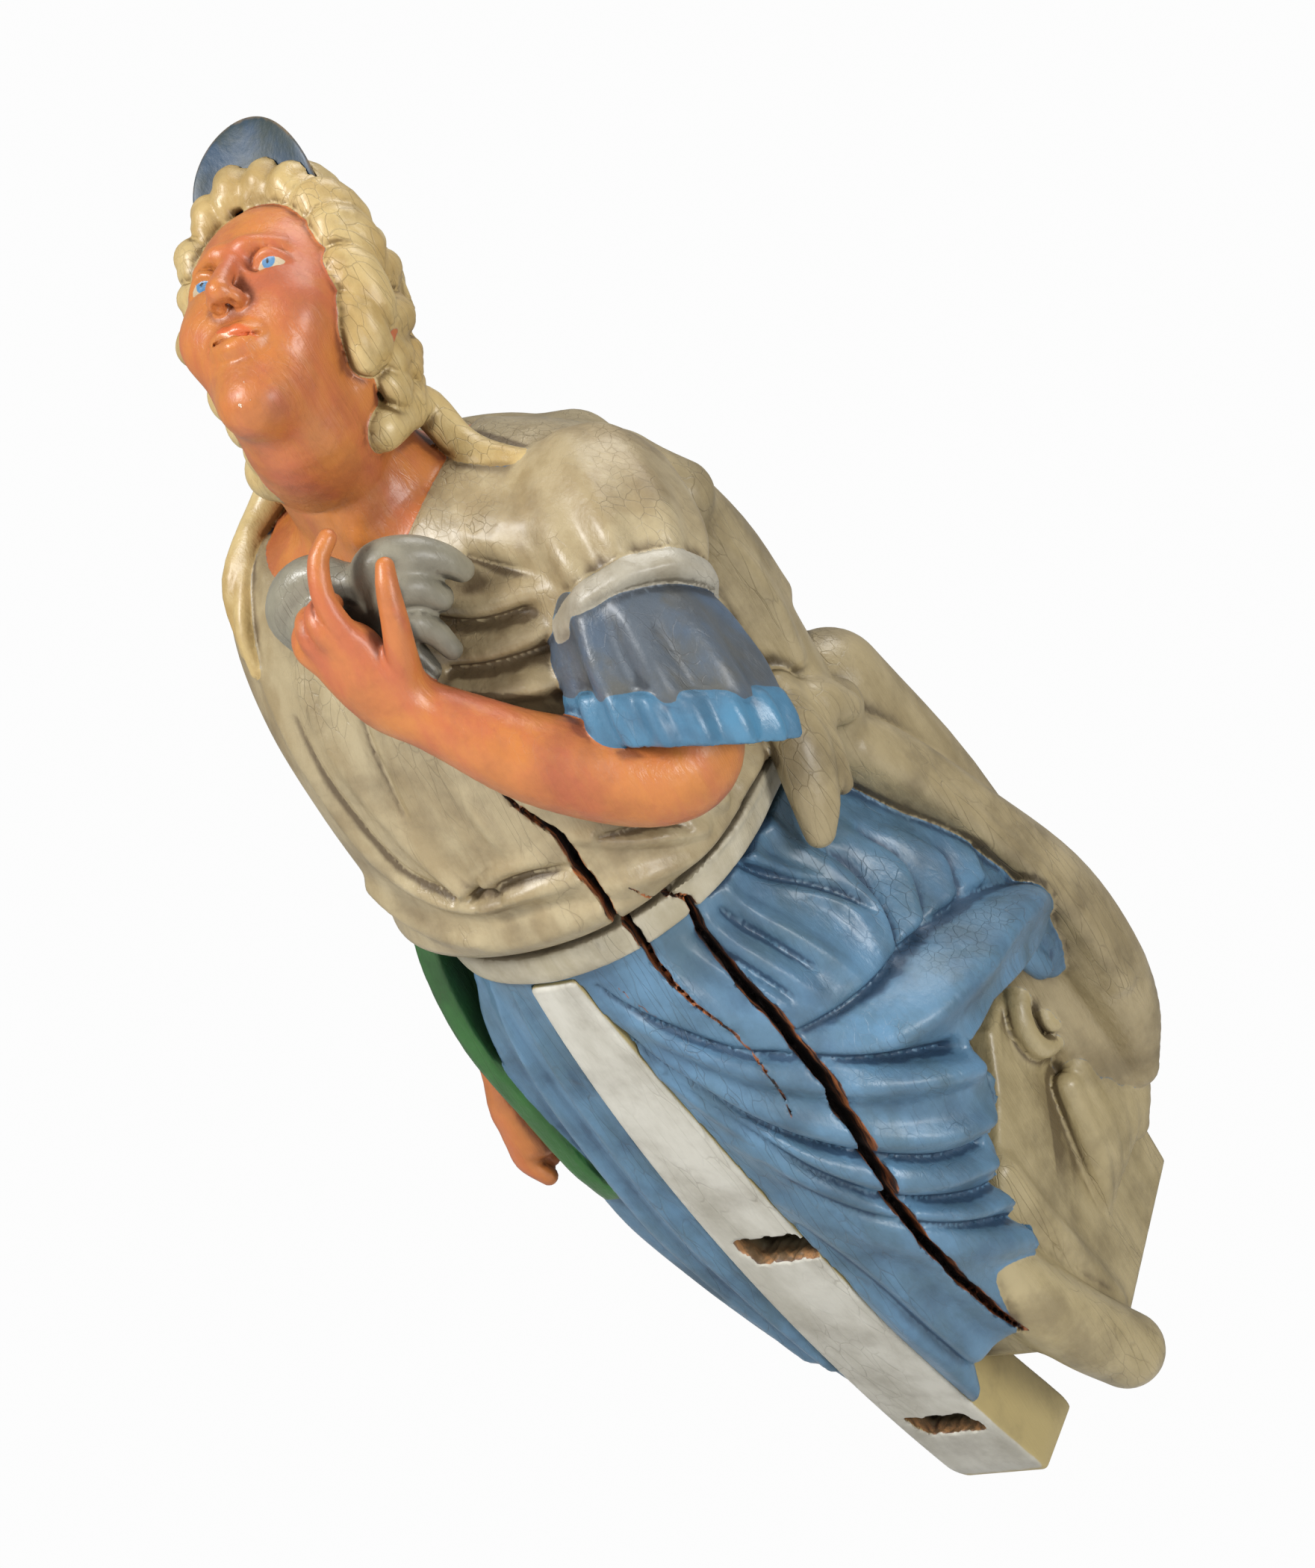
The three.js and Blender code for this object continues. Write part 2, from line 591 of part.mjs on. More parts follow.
function buildRightSide() {
  const sleeve = pleated([-164, -20, 356], [-186, -16, 236], [
    [-0.45, 30, 0], [-0.25, 58, 1], [0.1, 70, 2], [0.5, 72, 4], [1.0, 58, 3],
  ], 8, 24, 0.92);
  const cuff = pleated([-186, -16, 236], [-190, 14, 140], [[0, 56, 1], [0.4, 64, 3], [1.05, 74, 5], [1.0, 54, 2]], 8, 24, 0.92);
  const arm = sweep([
    [-190, 0, 200, 40, 40], [-194, 10, 120, 40, 40], [-196, 24, 60, 39, 39], [-202, 36, -40, 35, 35],
    [-208, 56, -150, 30, 30], [-212, 72, -220, 27, 27],
  ], 8, [0, 1, 0], 1);
  const palm = sweep([[-212, 74, -214, 27, 23], [-216, 86, -258, 34, 25], [-212, 90, -292, 30, 22]], 8, [0, 1, 0], 1);
  const fingers = [0, 1, 2, 3].map((k) => sweep([
    [-222, 110 - 20 * k, -280 + 5 * k, 12, 12], [-226, 112 - 20 * k, -312 + 7 * k, 11, 11],
    [-214, 108 - 19 * k, -340 + 9 * k, 10, 10],
  ], 6, [0, 1, 0], 1));
  return [sleeve, cuff, arm, palm, ...fingers, buildLeaf()];
}

// ---- knee, swag and the blouse's gathered edge -----------------------------------------------
function buildDrapery() {
  const knee = egg(226, -136, -350, 88, 104, 88, 12);
  const swags = [
    [[268, -190, -386, 30, 30], [250, -60, -400, 36, 30], [196, 50, -438, 32, 26], [120, 112, -470, 16, 14]],
    [[286, -200, -330, 26, 26], [272, -60, -350, 30, 24], [214, 60, -372, 26, 22], [140, 122, -384, 12, 12]],
    [[236, -90, -440, 24, 22], [206, -10, -476, 26, 22], [164, 62, -520, 22, 18], [104, 96, -566, 12, 12]],
    [[204, -50, -510, 22, 18], [184, 0, -556, 22, 18], [140, 58, -620, 20, 16], [96, 74, -690, 12, 10]],
    [[178, -46, -612, 20, 16], [160, -2, -652, 22, 18], [124, 34, -716, 18, 14], [100, 40, -780, 10, 10]],
  ].map((path) => sweep(path, 8, [1, 0, 0.4], 1));
  const gather = sweep([
    [-34, 172, 392, 16, 16], [-34, 176, 426, 20, 20], [10, 166, 454, 21, 20], [56, 164, 436, 20, 19],
    [104, 146, 442, 20, 20], [128, 122, 402, 13, 13],
  ], 8, [0, 0, 1], 1);
  const bunch = sweep([[16, 90, 376, 44, 44], [30, 140, 400, 40, 36], [36, 186, 402, 30, 26]], 8, [1, 0, 0], 1);
  const hem = sweep([
    [-176, 96, 26, 18, 16], [-120, 152, 16, 20, 18], [-40, 184, 10, 20, 18], [50, 182, 6, 20, 18],
    [130, 138, 8, 20, 18], [184, 60, 14, 20, 18], [204, -40, 22, 18, 16],
  ], 8, [0, 0, 1], 1);
  return [knee, ...swags, gather, bunch, hem];
}

// ---- mantle ------------------------------------------------------------------------------------
function buildMantle() {
  const collar = sweep([
    [-150, -96, 366, 30, 30], [-70, -106, 398, 26, 26], [4, -116, 400, 25, 25], [60, -132, 384, 25, 25],
    [130, -112, 370, 26, 26], [190, -86, 352, 30, 30], [222, -96, 300, 36, 36],
  ], 10, [0, 0, 1], 1);
  const drape = sweep([
    [176, -96, 338, 42, 42], [192, -114, 270, 48, 48], [198, -128, 190, 46, 46], [190, -138, 100, 44, 44],
    [186, -144, 30, 44, 44],
  ], 12, [1, 0, 0], 1);
  const innerDrape = sweep([
    [114, -128, 348, 48, 48], [136, -140, 260, 52, 52], [120, -150, 120, 60, 60], [110, -150, 0, 68, 68],
  ], 10, [1, 0, 0], 1);
  const rightDrape = sweep([
    [-110, -130, 350, 50, 50], [-150, -170, 260, 60, 60], [-150, -216, 100, 76, 76], [-140, -244, -60, 84, 84],
  ], 10, [1, 0, 0], 1);
  const knot = egg(216, -114, 24, 36, 38, 32, 10, [20, 0, 30]);
  const knotFold = egg(206, -156, -14, 38, 36, 28, 10, [-20, 0, 10]);
  const lobe = sweep([[214, -82, 66, 24, 18], [232, -50, 28, 31, 23], [236, -22, -20, 26, 20], [232, -6, -50, 17, 13]],
    8, [0, 1, 0], 1);
  const swath = sweep([
    [198, -144, -30, 34, 34], [216, -182, -110, 38, 38], [228, -230, -230, 44, 44], [248, -268, -360, 50, 50],
    [250, -288, -470, 48, 48], [242, -296, -556, 40, 40], [228, -288, -630, 24, 24],
  ], 12, [0, 1, 0.5], 1);
  const swathEdge = sweep([
    [226, -142, -60, 12, 12], [248, -180, -150, 16, 16], [270, -216, -270, 18, 18], [284, -246, -390, 18, 18],
    [280, -264, -490, 14, 14],
  ], 6, [0, 1, 0.5], 1);
  const backRidge = sweep([
    [160, -240, -40, 60, 60], [176, -270, -220, 62, 62], [184, -276, -420, 62, 62], [180, -276, -610, 50, 50],
  ], 8, [0, 1, 0], 1);
  return [collar, drape, innerDrape, rightDrape, knot, knotFold, lobe, swath, swathEdge, backRidge];
}

// ---- scrolled base ------------------------------------------------------------------------------
function buildBase() {
  const profile = new THREE.Shape();
  profile.moveTo(-360, -420);
  profile.lineTo(-250, -440);
  profile.lineTo(-160, -452);
  profile.lineTo(-120, -500);
  profile.lineTo(-60, -540);
  profile.lineTo(10, -600);
  profile.lineTo(30, -650);
  profile.lineTo(0, -760);
  profile.lineTo(-60, -820);
  profile.lineTo(-126, -836);
  profile.lineTo(-330, -800);
  profile.lineTo(-360, -790);
  profile.closePath();
  const thickness = PANEL_LEFT + PANEL_RIGHT;
  const block = new THREE.ExtrudeGeometry(profile, { depth: thickness, bevelEnabled: false });
  // the profile is drawn in (f, u); the extrusion runs towards her left
  const place = new THREE.Matrix4().set(0, 0, 1, -PANEL_RIGHT, -1, 0, 0, 0, 0, 1, 0, 0, 0, 0, 0, 1);
  block.applyMatrix4(place);
  const pieces = [solid(block)];
  // spiral boss of the volute
  const TURNS = 1.25;
  const STEPS = 7;
  const path = [];
  for (let k = 0; k <= STEPS; k += 1) {
    const angle = toRad(70 - (360 * TURNS * k) / STEPS);
    const radius = lerp(54, 12, k / STEPS);
    path.push([lerp(176, 194, k / STEPS), -232 + radius * Math.cos(angle), -500 + radius * Math.sin(angle), 13, 13]);
  }
  pieces.push(sweep(path, 6, [1, 0, 0], 1));
  pieces.push(egg(170, -232, -500, 22, 58, 58, 12));
  pieces.push(egg(184, -232, -500, 22, 18, 18, 8));
  // acanthus lobes behind the volute
  const LOBES = 4;
  for (let k = 0; k < LOBES; k += 1) {
    const f = -300 + 26 * k;
    pieces.push(sweep([
      [214 - 7 * k, f - 6, -548 - 8 * k, 17, 17], [214 - 9 * k, f + 6, -610 - 13 * k, 20, 20],
      [204 - 9 * k, f + 18, -670 - 11 * k, 17, 17], [190 - 7 * k, f + 26, -704 - 9 * k, 10, 10],
    ], 8, [0, 1, 0], 1));
  }
  pieces.push(sweep([[200, -300, -540, 40, 40], [196, -290, -640, 36, 36], [186, -280, -700, 24, 24]], 8, [0, 1, 0], 1));
  pieces.push(sweep([
    [140, 20, -560, 22, 22], [152, 8, -620, 34, 34], [158, -8, -690, ROLL_RADIUS, ROLL_RADIUS],
    [168, -42, -775, ROLL_RADIUS, ROLL_RADIUS], [176, -80, -848, ROLL_RADIUS, ROLL_RADIUS],
    [180, -94, -878, ROLL_RADIUS - 14, ROLL_RADIUS - 14],
  ], 14, [1, 0, 0], 1, true, false));
  return pieces;
}

// ---- front timber --------------------------------------------------------------------------------
/** Half width of the front timber at a height. */
const timberHalf = (u) => TIMBER_TOP_HALF + TIMBER_GAIN * (1 - Math.exp((u - TIMBER_TOP_U) / TIMBER_GAIN_OVER));
const timberDepth = (u) => lerp(TIMBER_DEPTH, TANG_DEPTH, clamp((TIMBER_TOP_U - u) / (TIMBER_TOP_U - TANG_U), 0, 1));

function timberBar(grow, lowest) {
  const heights = [];
  const STEPS = 14;
  for (let k = 0; k <= STEPS; k += 1) heights.push(lerp(TIMBER_TOP_U + grow, lowest - grow, k / STEPS));
  const rings = heights.map((u) => {
    const half = timberHalf(u) + grow;
    const front = frontLine(u) + 3 + (grow > 0 ? 60 : 0);
    const back = frontLine(u) - timberDepth(u) - grow;
    const taper = u < TANG_U + 30 ? 5 : 0;
    const right = TIMBER_L - half + taper;
    const left = TIMBER_L + half - taper;
    return [at(right, front - taper, u), at(left, front - taper, u), at(left, back, u), at(right, back, u)];
  });
  return solid(loft(rings));
}

/** A rough rectangular bolt hole, cut square to the front face. */
function boltHole(u) {
  const geometry = new THREE.BoxGeometry(BOLT_LONG, 2 * BOLT_DEPTH, BOLT_SHORT);
  geometry.rotateX(Math.atan((frontLine(u + 5) - frontLine(u - 5)) / 10));
  geometry.translate(0, -(frontLine(u) + 2), u);
  return solid(geometry);
}

function buildTimber() {
  return timberBar(0, TANG_U).subtract(boltHole(BOLT_UPPER_U)).subtract(boltHole(BOLT_LOWER_U));
}

// ---- diadem ---------------------------------------------------------------------------------------
function buildDiadem(grow = 0) {
  const SIDES = 18;
  const THICK = 12;
  const CREST_TALL = 46;
  const CREST_HALF = 56;
  const outer = [];
  for (let k = 0; k <= SIDES; k += 1) {
    const t = k / SIDES;
    const angle = toRad(lerp(-78, 78, t));
    const rise = CREST_TALL * Math.cos(angle * 1.05) ** 0.7;
    outer.push({ ear: CREST_HALF * Math.sin(angle), rise, back: 18 * Math.cos(angle) });
  }
  const rows = [0, 0.35, 0.7, 1];
  const place = (p, row, skin) => {
    const scoop = 20 * Math.sin(Math.PI * row) ** 1 * (1 - Math.abs(p.ear) / 90);
    return at(...inHead(p.ear * lerp(0.92, 1.0, row), 38 - p.back * 0.4 + lerp(0, -16, row) - scoop - skin * (THICK + 2 * grow) + grow,
      lerp(100 - 0.0032 * p.ear * p.ear, 108 + p.rise, row)));
  };
  const positions = [];
  const faces = [];
  const columns = outer.length;
  for (const skin of [0, 1]) for (const row of rows) for (const p of outer) positions.push(...place(p, row, skin).toArray());
  const id = (skin, row, col) => skin * rows.length * columns + row * columns + col;
  for (let row = 0; row + 1 < rows.length; row += 1) {
    for (let col = 0; col + 1 < columns; col += 1) {
      for (const skin of [0, 1]) {
        const [a, b, c, d] = [id(skin, row, col), id(skin, row, col + 1), id(skin, row + 1, col + 1), id(skin, row + 1, col)];
        if (skin === 0) faces.push(a, b, c, a, c, d);
        else faces.push(a, c, b, a, d, c);
      }
    }
  }
  const rim = [];
  for (let col = 0; col < columns; col += 1) rim.push([0, col]);
  for (let row = 1; row < rows.length; row += 1) rim.push([row, columns - 1]);
  for (let col = columns - 2; col >= 0; col -= 1) rim.push([rows.length - 1, col]);
  for (let row = rows.length - 2; row > 0; row -= 1) rim.push([row, 0]);
  for (let k = 0; k < rim.length; k += 1) {
    const [r0, c0] = rim[k];
    const [r1, c1] = rim[(k + 1) % rim.length];
    faces.push(id(0, r0, c0), id(1, r0, c0), id(1, r1, c1), id(0, r0, c0), id(1, r1, c1), id(0, r1, c1));
  }
  const geometry = new THREE.BufferGeometry();
  geometry.setAttribute("position", new THREE.Float32BufferAttribute(positions, 3));
  geometry.setIndex(faces);
  return solid(geometry);
}

// ---- join the carving -----------------------------------------------------------------------------
function joinAll(pieces) {
  return pieces.reduce((sum, piece) => sum.add(piece));
}

/** Straight-walled groove for a long drying crack, through points [l, f, u]. */
function crack(path, half, depth) {
  const curve = new THREE.CatmullRomCurve3(path.map((p) => at(...p)));
  const rings = [];
  const STEPS = 8;
  for (let k = 0; k <= STEPS; k += 1) {
    const t = k / STEPS;
    const centre = curve.getPoint(t);
    const along = curve.getTangent(t);
    const outward = new THREE.Vector3(centre.x, centre.y, 0).normalize();
    const side = new THREE.Vector3().crossVectors(along, outward).normalize();
    const wide = half * Math.sin(Math.PI * (0.08 + 0.84 * t));
    rings.push([
      centre.clone().addScaledVector(outward, 60).addScaledVector(side, wide * 2),
      centre.clone().addScaledVector(outward, 60).addScaledVector(side, -wide * 2),
      centre.clone().addScaledVector(outward, -depth).addScaledVector(side, -wide * 0.3),
      centre.clone().addScaledVector(outward, -depth).addScaledVector(side, wide * 0.3),
    ]);
  }
  return solid(loft(rings));
}

const CRACKS = [
  [[[66, 182, 190], [96, 172, 80], [92, 150, -40], [84, 140, -180]], 6, 26],
  [[[130, 116, -4], [146, 90, -120], [148, 76, -300], [138, 62, -440], [128, 30, -580], [122, -12, -690]], 8, 34],
];

/** Everything in front of a plane square to the body. */
function inFrontOf(f) {
  const box = new THREE.BoxGeometry(1400, 1400, 2600);
  box.translate(0, -700 - f, 0);
  return solid(box);
}

const diadem = buildDiadem();
let figure = joinAll([
  buildBody(), buildBelt(), buildHead(), ...buildFace(), ...buildHair(), ...buildNeckAndLocks(), ...buildLeftArm(),
  ...buildLeftHand(), ...buildRightSide(), ...buildDrapery(), ...buildMantle(), ...buildBase(),
]);
figure = lighten(figure.intersect(inFrontOf(BACK_F - 6)), FIGURE_TRIANGLES);
figure = figure.intersect(inFrontOf(BACK_F)).subtract(timberBar(FIT, HEM_U - 80)).subtract(buildDiadem(FIT));
for (const [path, half, depth] of CRACKS) figure = figure.subtract(crack(path, half, depth));
const timber = buildTimber();

// ---- the finished part ------------------------------------------------------------------------------
const group = new THREE.Group();
const lean = new THREE.Group();
lean.rotation.x = toRad(LEAN_DEG);
const inner = new THREE.Group();
inner.position.set(0, BACK_F, -MOUNT_U);
lean.add(inner);
group.add(lean);

function addPiece(name, manifold, colour, roughness) {
  const mesh = new THREE.Mesh(geometryOf(manifold), new THREE.MeshStandardMaterial({
    color: colour, roughness, metalness: 0,
  }));
  mesh.name = name;
  inner.add(mesh);
}

addPiece("figure", figure, SKIRT_BLUE, 0.5);
addPiece("front_timber", timber, TIMBER_WHITE, 0.6);
addPiece("diadem", diadem, SLATE_BLUE, 0.45);

export default group;
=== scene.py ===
# A painted wooden ship figurehead: a woman leaning forward over a scrolled base.
#
# The carving is worked out as fields of distance in its own body frame, in millimetres: l is towards
# her left, f towards her front and u up along her body from the waist. A thin band of cells round the
# zero of the fields becomes the mesh, which is then leant forward into the row frame, in metres.

import logging
import math
from dataclasses import dataclass
from typing import Callable, Sequence

import bpy
import numpy as np
from mathutils import Matrix, Vector

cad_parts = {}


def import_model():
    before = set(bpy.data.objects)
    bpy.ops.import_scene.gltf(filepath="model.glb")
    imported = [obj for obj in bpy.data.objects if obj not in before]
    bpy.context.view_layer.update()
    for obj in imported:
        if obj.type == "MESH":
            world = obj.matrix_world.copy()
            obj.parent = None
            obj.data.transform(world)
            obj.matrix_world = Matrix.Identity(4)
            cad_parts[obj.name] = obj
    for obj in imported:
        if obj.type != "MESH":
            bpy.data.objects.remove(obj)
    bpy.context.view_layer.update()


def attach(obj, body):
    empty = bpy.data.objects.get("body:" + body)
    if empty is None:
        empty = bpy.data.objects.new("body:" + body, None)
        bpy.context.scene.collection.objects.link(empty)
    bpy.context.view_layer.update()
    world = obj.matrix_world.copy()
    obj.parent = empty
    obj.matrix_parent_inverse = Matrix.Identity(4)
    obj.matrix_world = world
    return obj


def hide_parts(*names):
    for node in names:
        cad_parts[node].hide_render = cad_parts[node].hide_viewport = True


Points = np.ndarray
Values = np.ndarray
Rows = Sequence[Sequence[float]]
LOG = logging.getLogger("figurehead")


# ---------------------------------------------------------------- numbers shared by all forms
def smooth_step(value: np.ndarray, low: float, high: float) -> np.ndarray:
    """A ramp from 0 to 1 that is level at both ends."""
    t = np.clip((value - low) / (high - low), 0.0, 1.0)
    return t * t * (3.0 - 2.0 * t)


def soft_min(a: np.ndarray, b: np.ndarray, blend: float) -> np.ndarray:
    """Smooth union of two fields."""
    h = np.maximum(blend - np.abs(a - b), 0.0) / blend
    return np.minimum(a, b) - h * h * blend * 0.25


def soft_max(a: np.ndarray, b: np.ndarray, blend: float) -> np.ndarray:
    """Smooth overlap of two fields."""
    return -soft_min(-a, -b, blend)


def smooth_path(points: Rows, steps: int = 5) -> np.ndarray:
    """Catmull-Rom samples through rows of numbers."""
    rows = np.asarray(points, float)
    if len(rows) < 3:
        return rows
    ext = np.vstack([2 * rows[0] - rows[1], rows, 2 * rows[-1] - rows[-2]])
    out = []
    for k in range(len(rows) - 1):
        a, b, c, d = ext[k:k + 4]
        for s in range(steps):
            t = s / steps
            out.append(0.5 * (2 * b + (c - a) * t + (2 * a - 5 * b + 4 * c - d) * t ** 2
                              + (3 * b - a - 3 * c + d) * t ** 3))
    out.append(rows[-1])
    return np.array(out)


def turn_matrix(degrees: tuple[float, float, float]) -> np.ndarray:
    """Turn about l, then f, then u."""
    ax, ay, az = (math.radians(v) for v in degrees)
    rx = np.array([[1, 0, 0], [0, math.cos(ax), -math.sin(ax)], [0, math.sin(ax), math.cos(ax)]])
    ry = np.array([[math.cos(ay), 0, math.sin(ay)], [0, 1, 0], [-math.sin(ay), 0, math.cos(ay)]])
    rz = np.array([[math.cos(az), -math.sin(az), 0], [math.sin(az), math.cos(az), 0], [0, 0, 1]])
    return rz @ ry @ rx


FAR = 30.0


class Form:
    """A field with the box in which it matters."""
    low: np.ndarray
    high: np.ndarray
    edges: tuple = ()

    def field(self, p: Points) -> np.ndarray:
        """Signed distance in millimetres, below nought inside."""
        raise NotImplementedError

    def near(self, span: tuple) -> bool:
        """Whether a box of points reaches into this form's own box."""
        if not self.edges:
            self.edges = (*map(float, self.low), *map(float, self.high))
        x0, y0, z0, x1, y1, z1 = self.edges
        a0, b0, c0, a1, b1, c1 = span
        return x0 <= a1 and a0 <= x1 and y0 <= b1 and b0 <= y1 and z0 <= c1 and c0 <= z1


    def set_box(self, points: np.ndarray, reach: float) -> None:
        """Keeps the box round the points, grown by the reach."""
        self.low = points.min(axis=0) - reach - FAR
        self.high = points.max(axis=0) + reach + FAR


class Block:
    """A handful of neighbouring points, with their box."""

    def __init__(self, p: Points) -> None:
        """Keeps the points and the box round them."""
        self.p = p
        low, high = p.min(axis=0), p.max(axis=0)
        self.span = (*map(float, low), *map(float, high))
        self.far = np.full(len(p), FAR * 1.5)

    def join(self, forms: "list[Form]", blend: float) -> "Values | None":
        """Smooth union of the forms that are near, or None."""
        d = None
        for form in forms:
            if form.near(self.span):
                value = form.field(self.p)
                d = value if d is None else soft_min(d, value, blend)
        return d


def blend_of(a: "Values | None", b: "Values | None", blend: float) -> "Values | None":
    """Smooth union in which either side may be missing."""
    if a is None:
        return b
    if b is None:
        return a
    return soft_min(a, b, blend)


class Egg(Form):
    """Ellipsoid: centre, half sizes, turn in degrees."""

    def __init__(self, centre: Sequence[float], sizes: Sequence[float], turn: Sequence[float] = (0, 0, 0),
                 axes: "Points | None" = None) -> None:
        """Places the ellipsoid."""
        self.centre = np.asarray(centre, float)
        self.sizes = np.asarray(sizes, float)
        self.axes = turn_matrix(turn) if axes is None else np.asarray(axes, float)
        self.set_box(self.centre[None], float(self.sizes.max()))

    def field(self, p: Points) -> Values:
        """Signed distance in millimetres, below nought inside."""
        x, y, z = (p[:, k] - self.centre[k] for k in range(3))
        near = far = 0.0
        for axis, size in zip(self.axes.T, self.sizes):
            along = (x * axis[0] + y * axis[1] + z * axis[2]) / size
            near = near + along * along
            far = far + (along / size) ** 2
        k0 = np.sqrt(near)
        return k0 * (k0 - 1.0) / (np.sqrt(far) + 1e-9)


class Limb(Form):
    """Round bar through [l, f, u, radius]; flat < 1 thins it along `thin`."""

    def __init__(self, path: Rows, steps: int = 4, flat: float = 1.0,
                 thin: Sequence[float] = (0, 1, 0)) -> None:
        """Smooths the path of centre and radius rows."""
        rows = smooth_path(path, steps)
        self.points = rows[:, :3]
        self.radii = rows[:, 3]
        self.flat = flat
        axis = np.asarray(thin, float)
        self.thin = axis / np.linalg.norm(axis)
        self.set_box(self.points, float(self.radii.max()))

    def squeeze(self, v: Points) -> Points:
        """Stretches space along the thin direction."""
        if self.flat == 1.0:
            return v
        along = v[:, 0] * self.thin[0] + v[:, 1] * self.thin[1] + v[:, 2] * self.thin[2]
        return v + along[:, None] * self.thin * (1.0 / self.flat - 1.0)

    def field(self, p: Points) -> Values:
        """Signed distance in millimetres, below nought inside."""
        q = self.squeeze(p)
        s = self.squeeze(self.points)
        x, y, z = (np.ascontiguousarray(q[:, k]) for k in range(3))
        best = None
        for a, b, ra, rb in zip(s[:-1], s[1:], self.radii[:-1], self.radii[1:]):
            ex, ey, ez = (float(v) for v in b - a)
            length = max(ex * ex + ey * ey + ez * ez, 1e-9)
            dx, dy, dz = x - a[0], y - a[1], z - a[2]
            t = np.clip((dx * ex + dy * ey + dz * ez) / length, 0.0, 1.0)
            dx -= t * ex
            dy -= t * ey
            dz -= t * ez
            d = np.sqrt(dx * dx + dy * dy + dz * dz) - ra - (rb - ra) * t
            best = d if best is None else np.minimum(best, d)
        return best * (self.flat if self.flat < 1.0 else 1.0) ** 0.5


class Slab(Form):
    """Prism of a polygon in (f, u), between two values of l, with rounded edges."""

    def __init__(self, outline: Rows, l_low: float, l_high: float, rounding: float = 4.0) -> None:
        """Keeps the outline and the two faces."""
        self.outline = np.asarray(outline, float)
        self.l_low, self.l_high, self.rounding = l_low, l_high, rounding
        corners = np.array([[l, f, u] for f, u in outline for l in (l_low, l_high)])
        self.set_box(corners, 0.0)

    def field(self, p: Points) -> Values:
        """Signed distance in millimetres, below nought inside."""
        q = p[:, 1:]
        poly = self.outline
        best = np.full(len(q), 1e12)
        inside = np.zeros(len(q), bool)
        for a, b in zip(poly, np.roll(poly, -1, axis=0)):
            e = b - a
            w = q - a
            t = np.clip((w @ e) / (e @ e), 0, 1)
            d = w - t[:, None] * e
            best = np.minimum(best, (d * d).sum(axis=1))
            up = (a[1] > q[:, 1]) != (b[1] > q[:, 1])
            if abs(e[1]) > 1e-9:
                cross = q[:, 0] < e[0] * (q[:, 1] - a[1]) / e[1] + a[0]
                inside ^= up & cross
        flat = np.sqrt(best) * np.where(inside, -1.0, 1.0) + self.rounding
        side = np.maximum(self.l_low - p[:, 0], p[:, 0] - self.l_high) + self.rounding
        outer = np.sqrt(np.maximum(flat, 0) ** 2 + np.maximum(side, 0) ** 2)
        return outer + np.minimum(np.maximum(flat, side), 0.0) - self.rounding


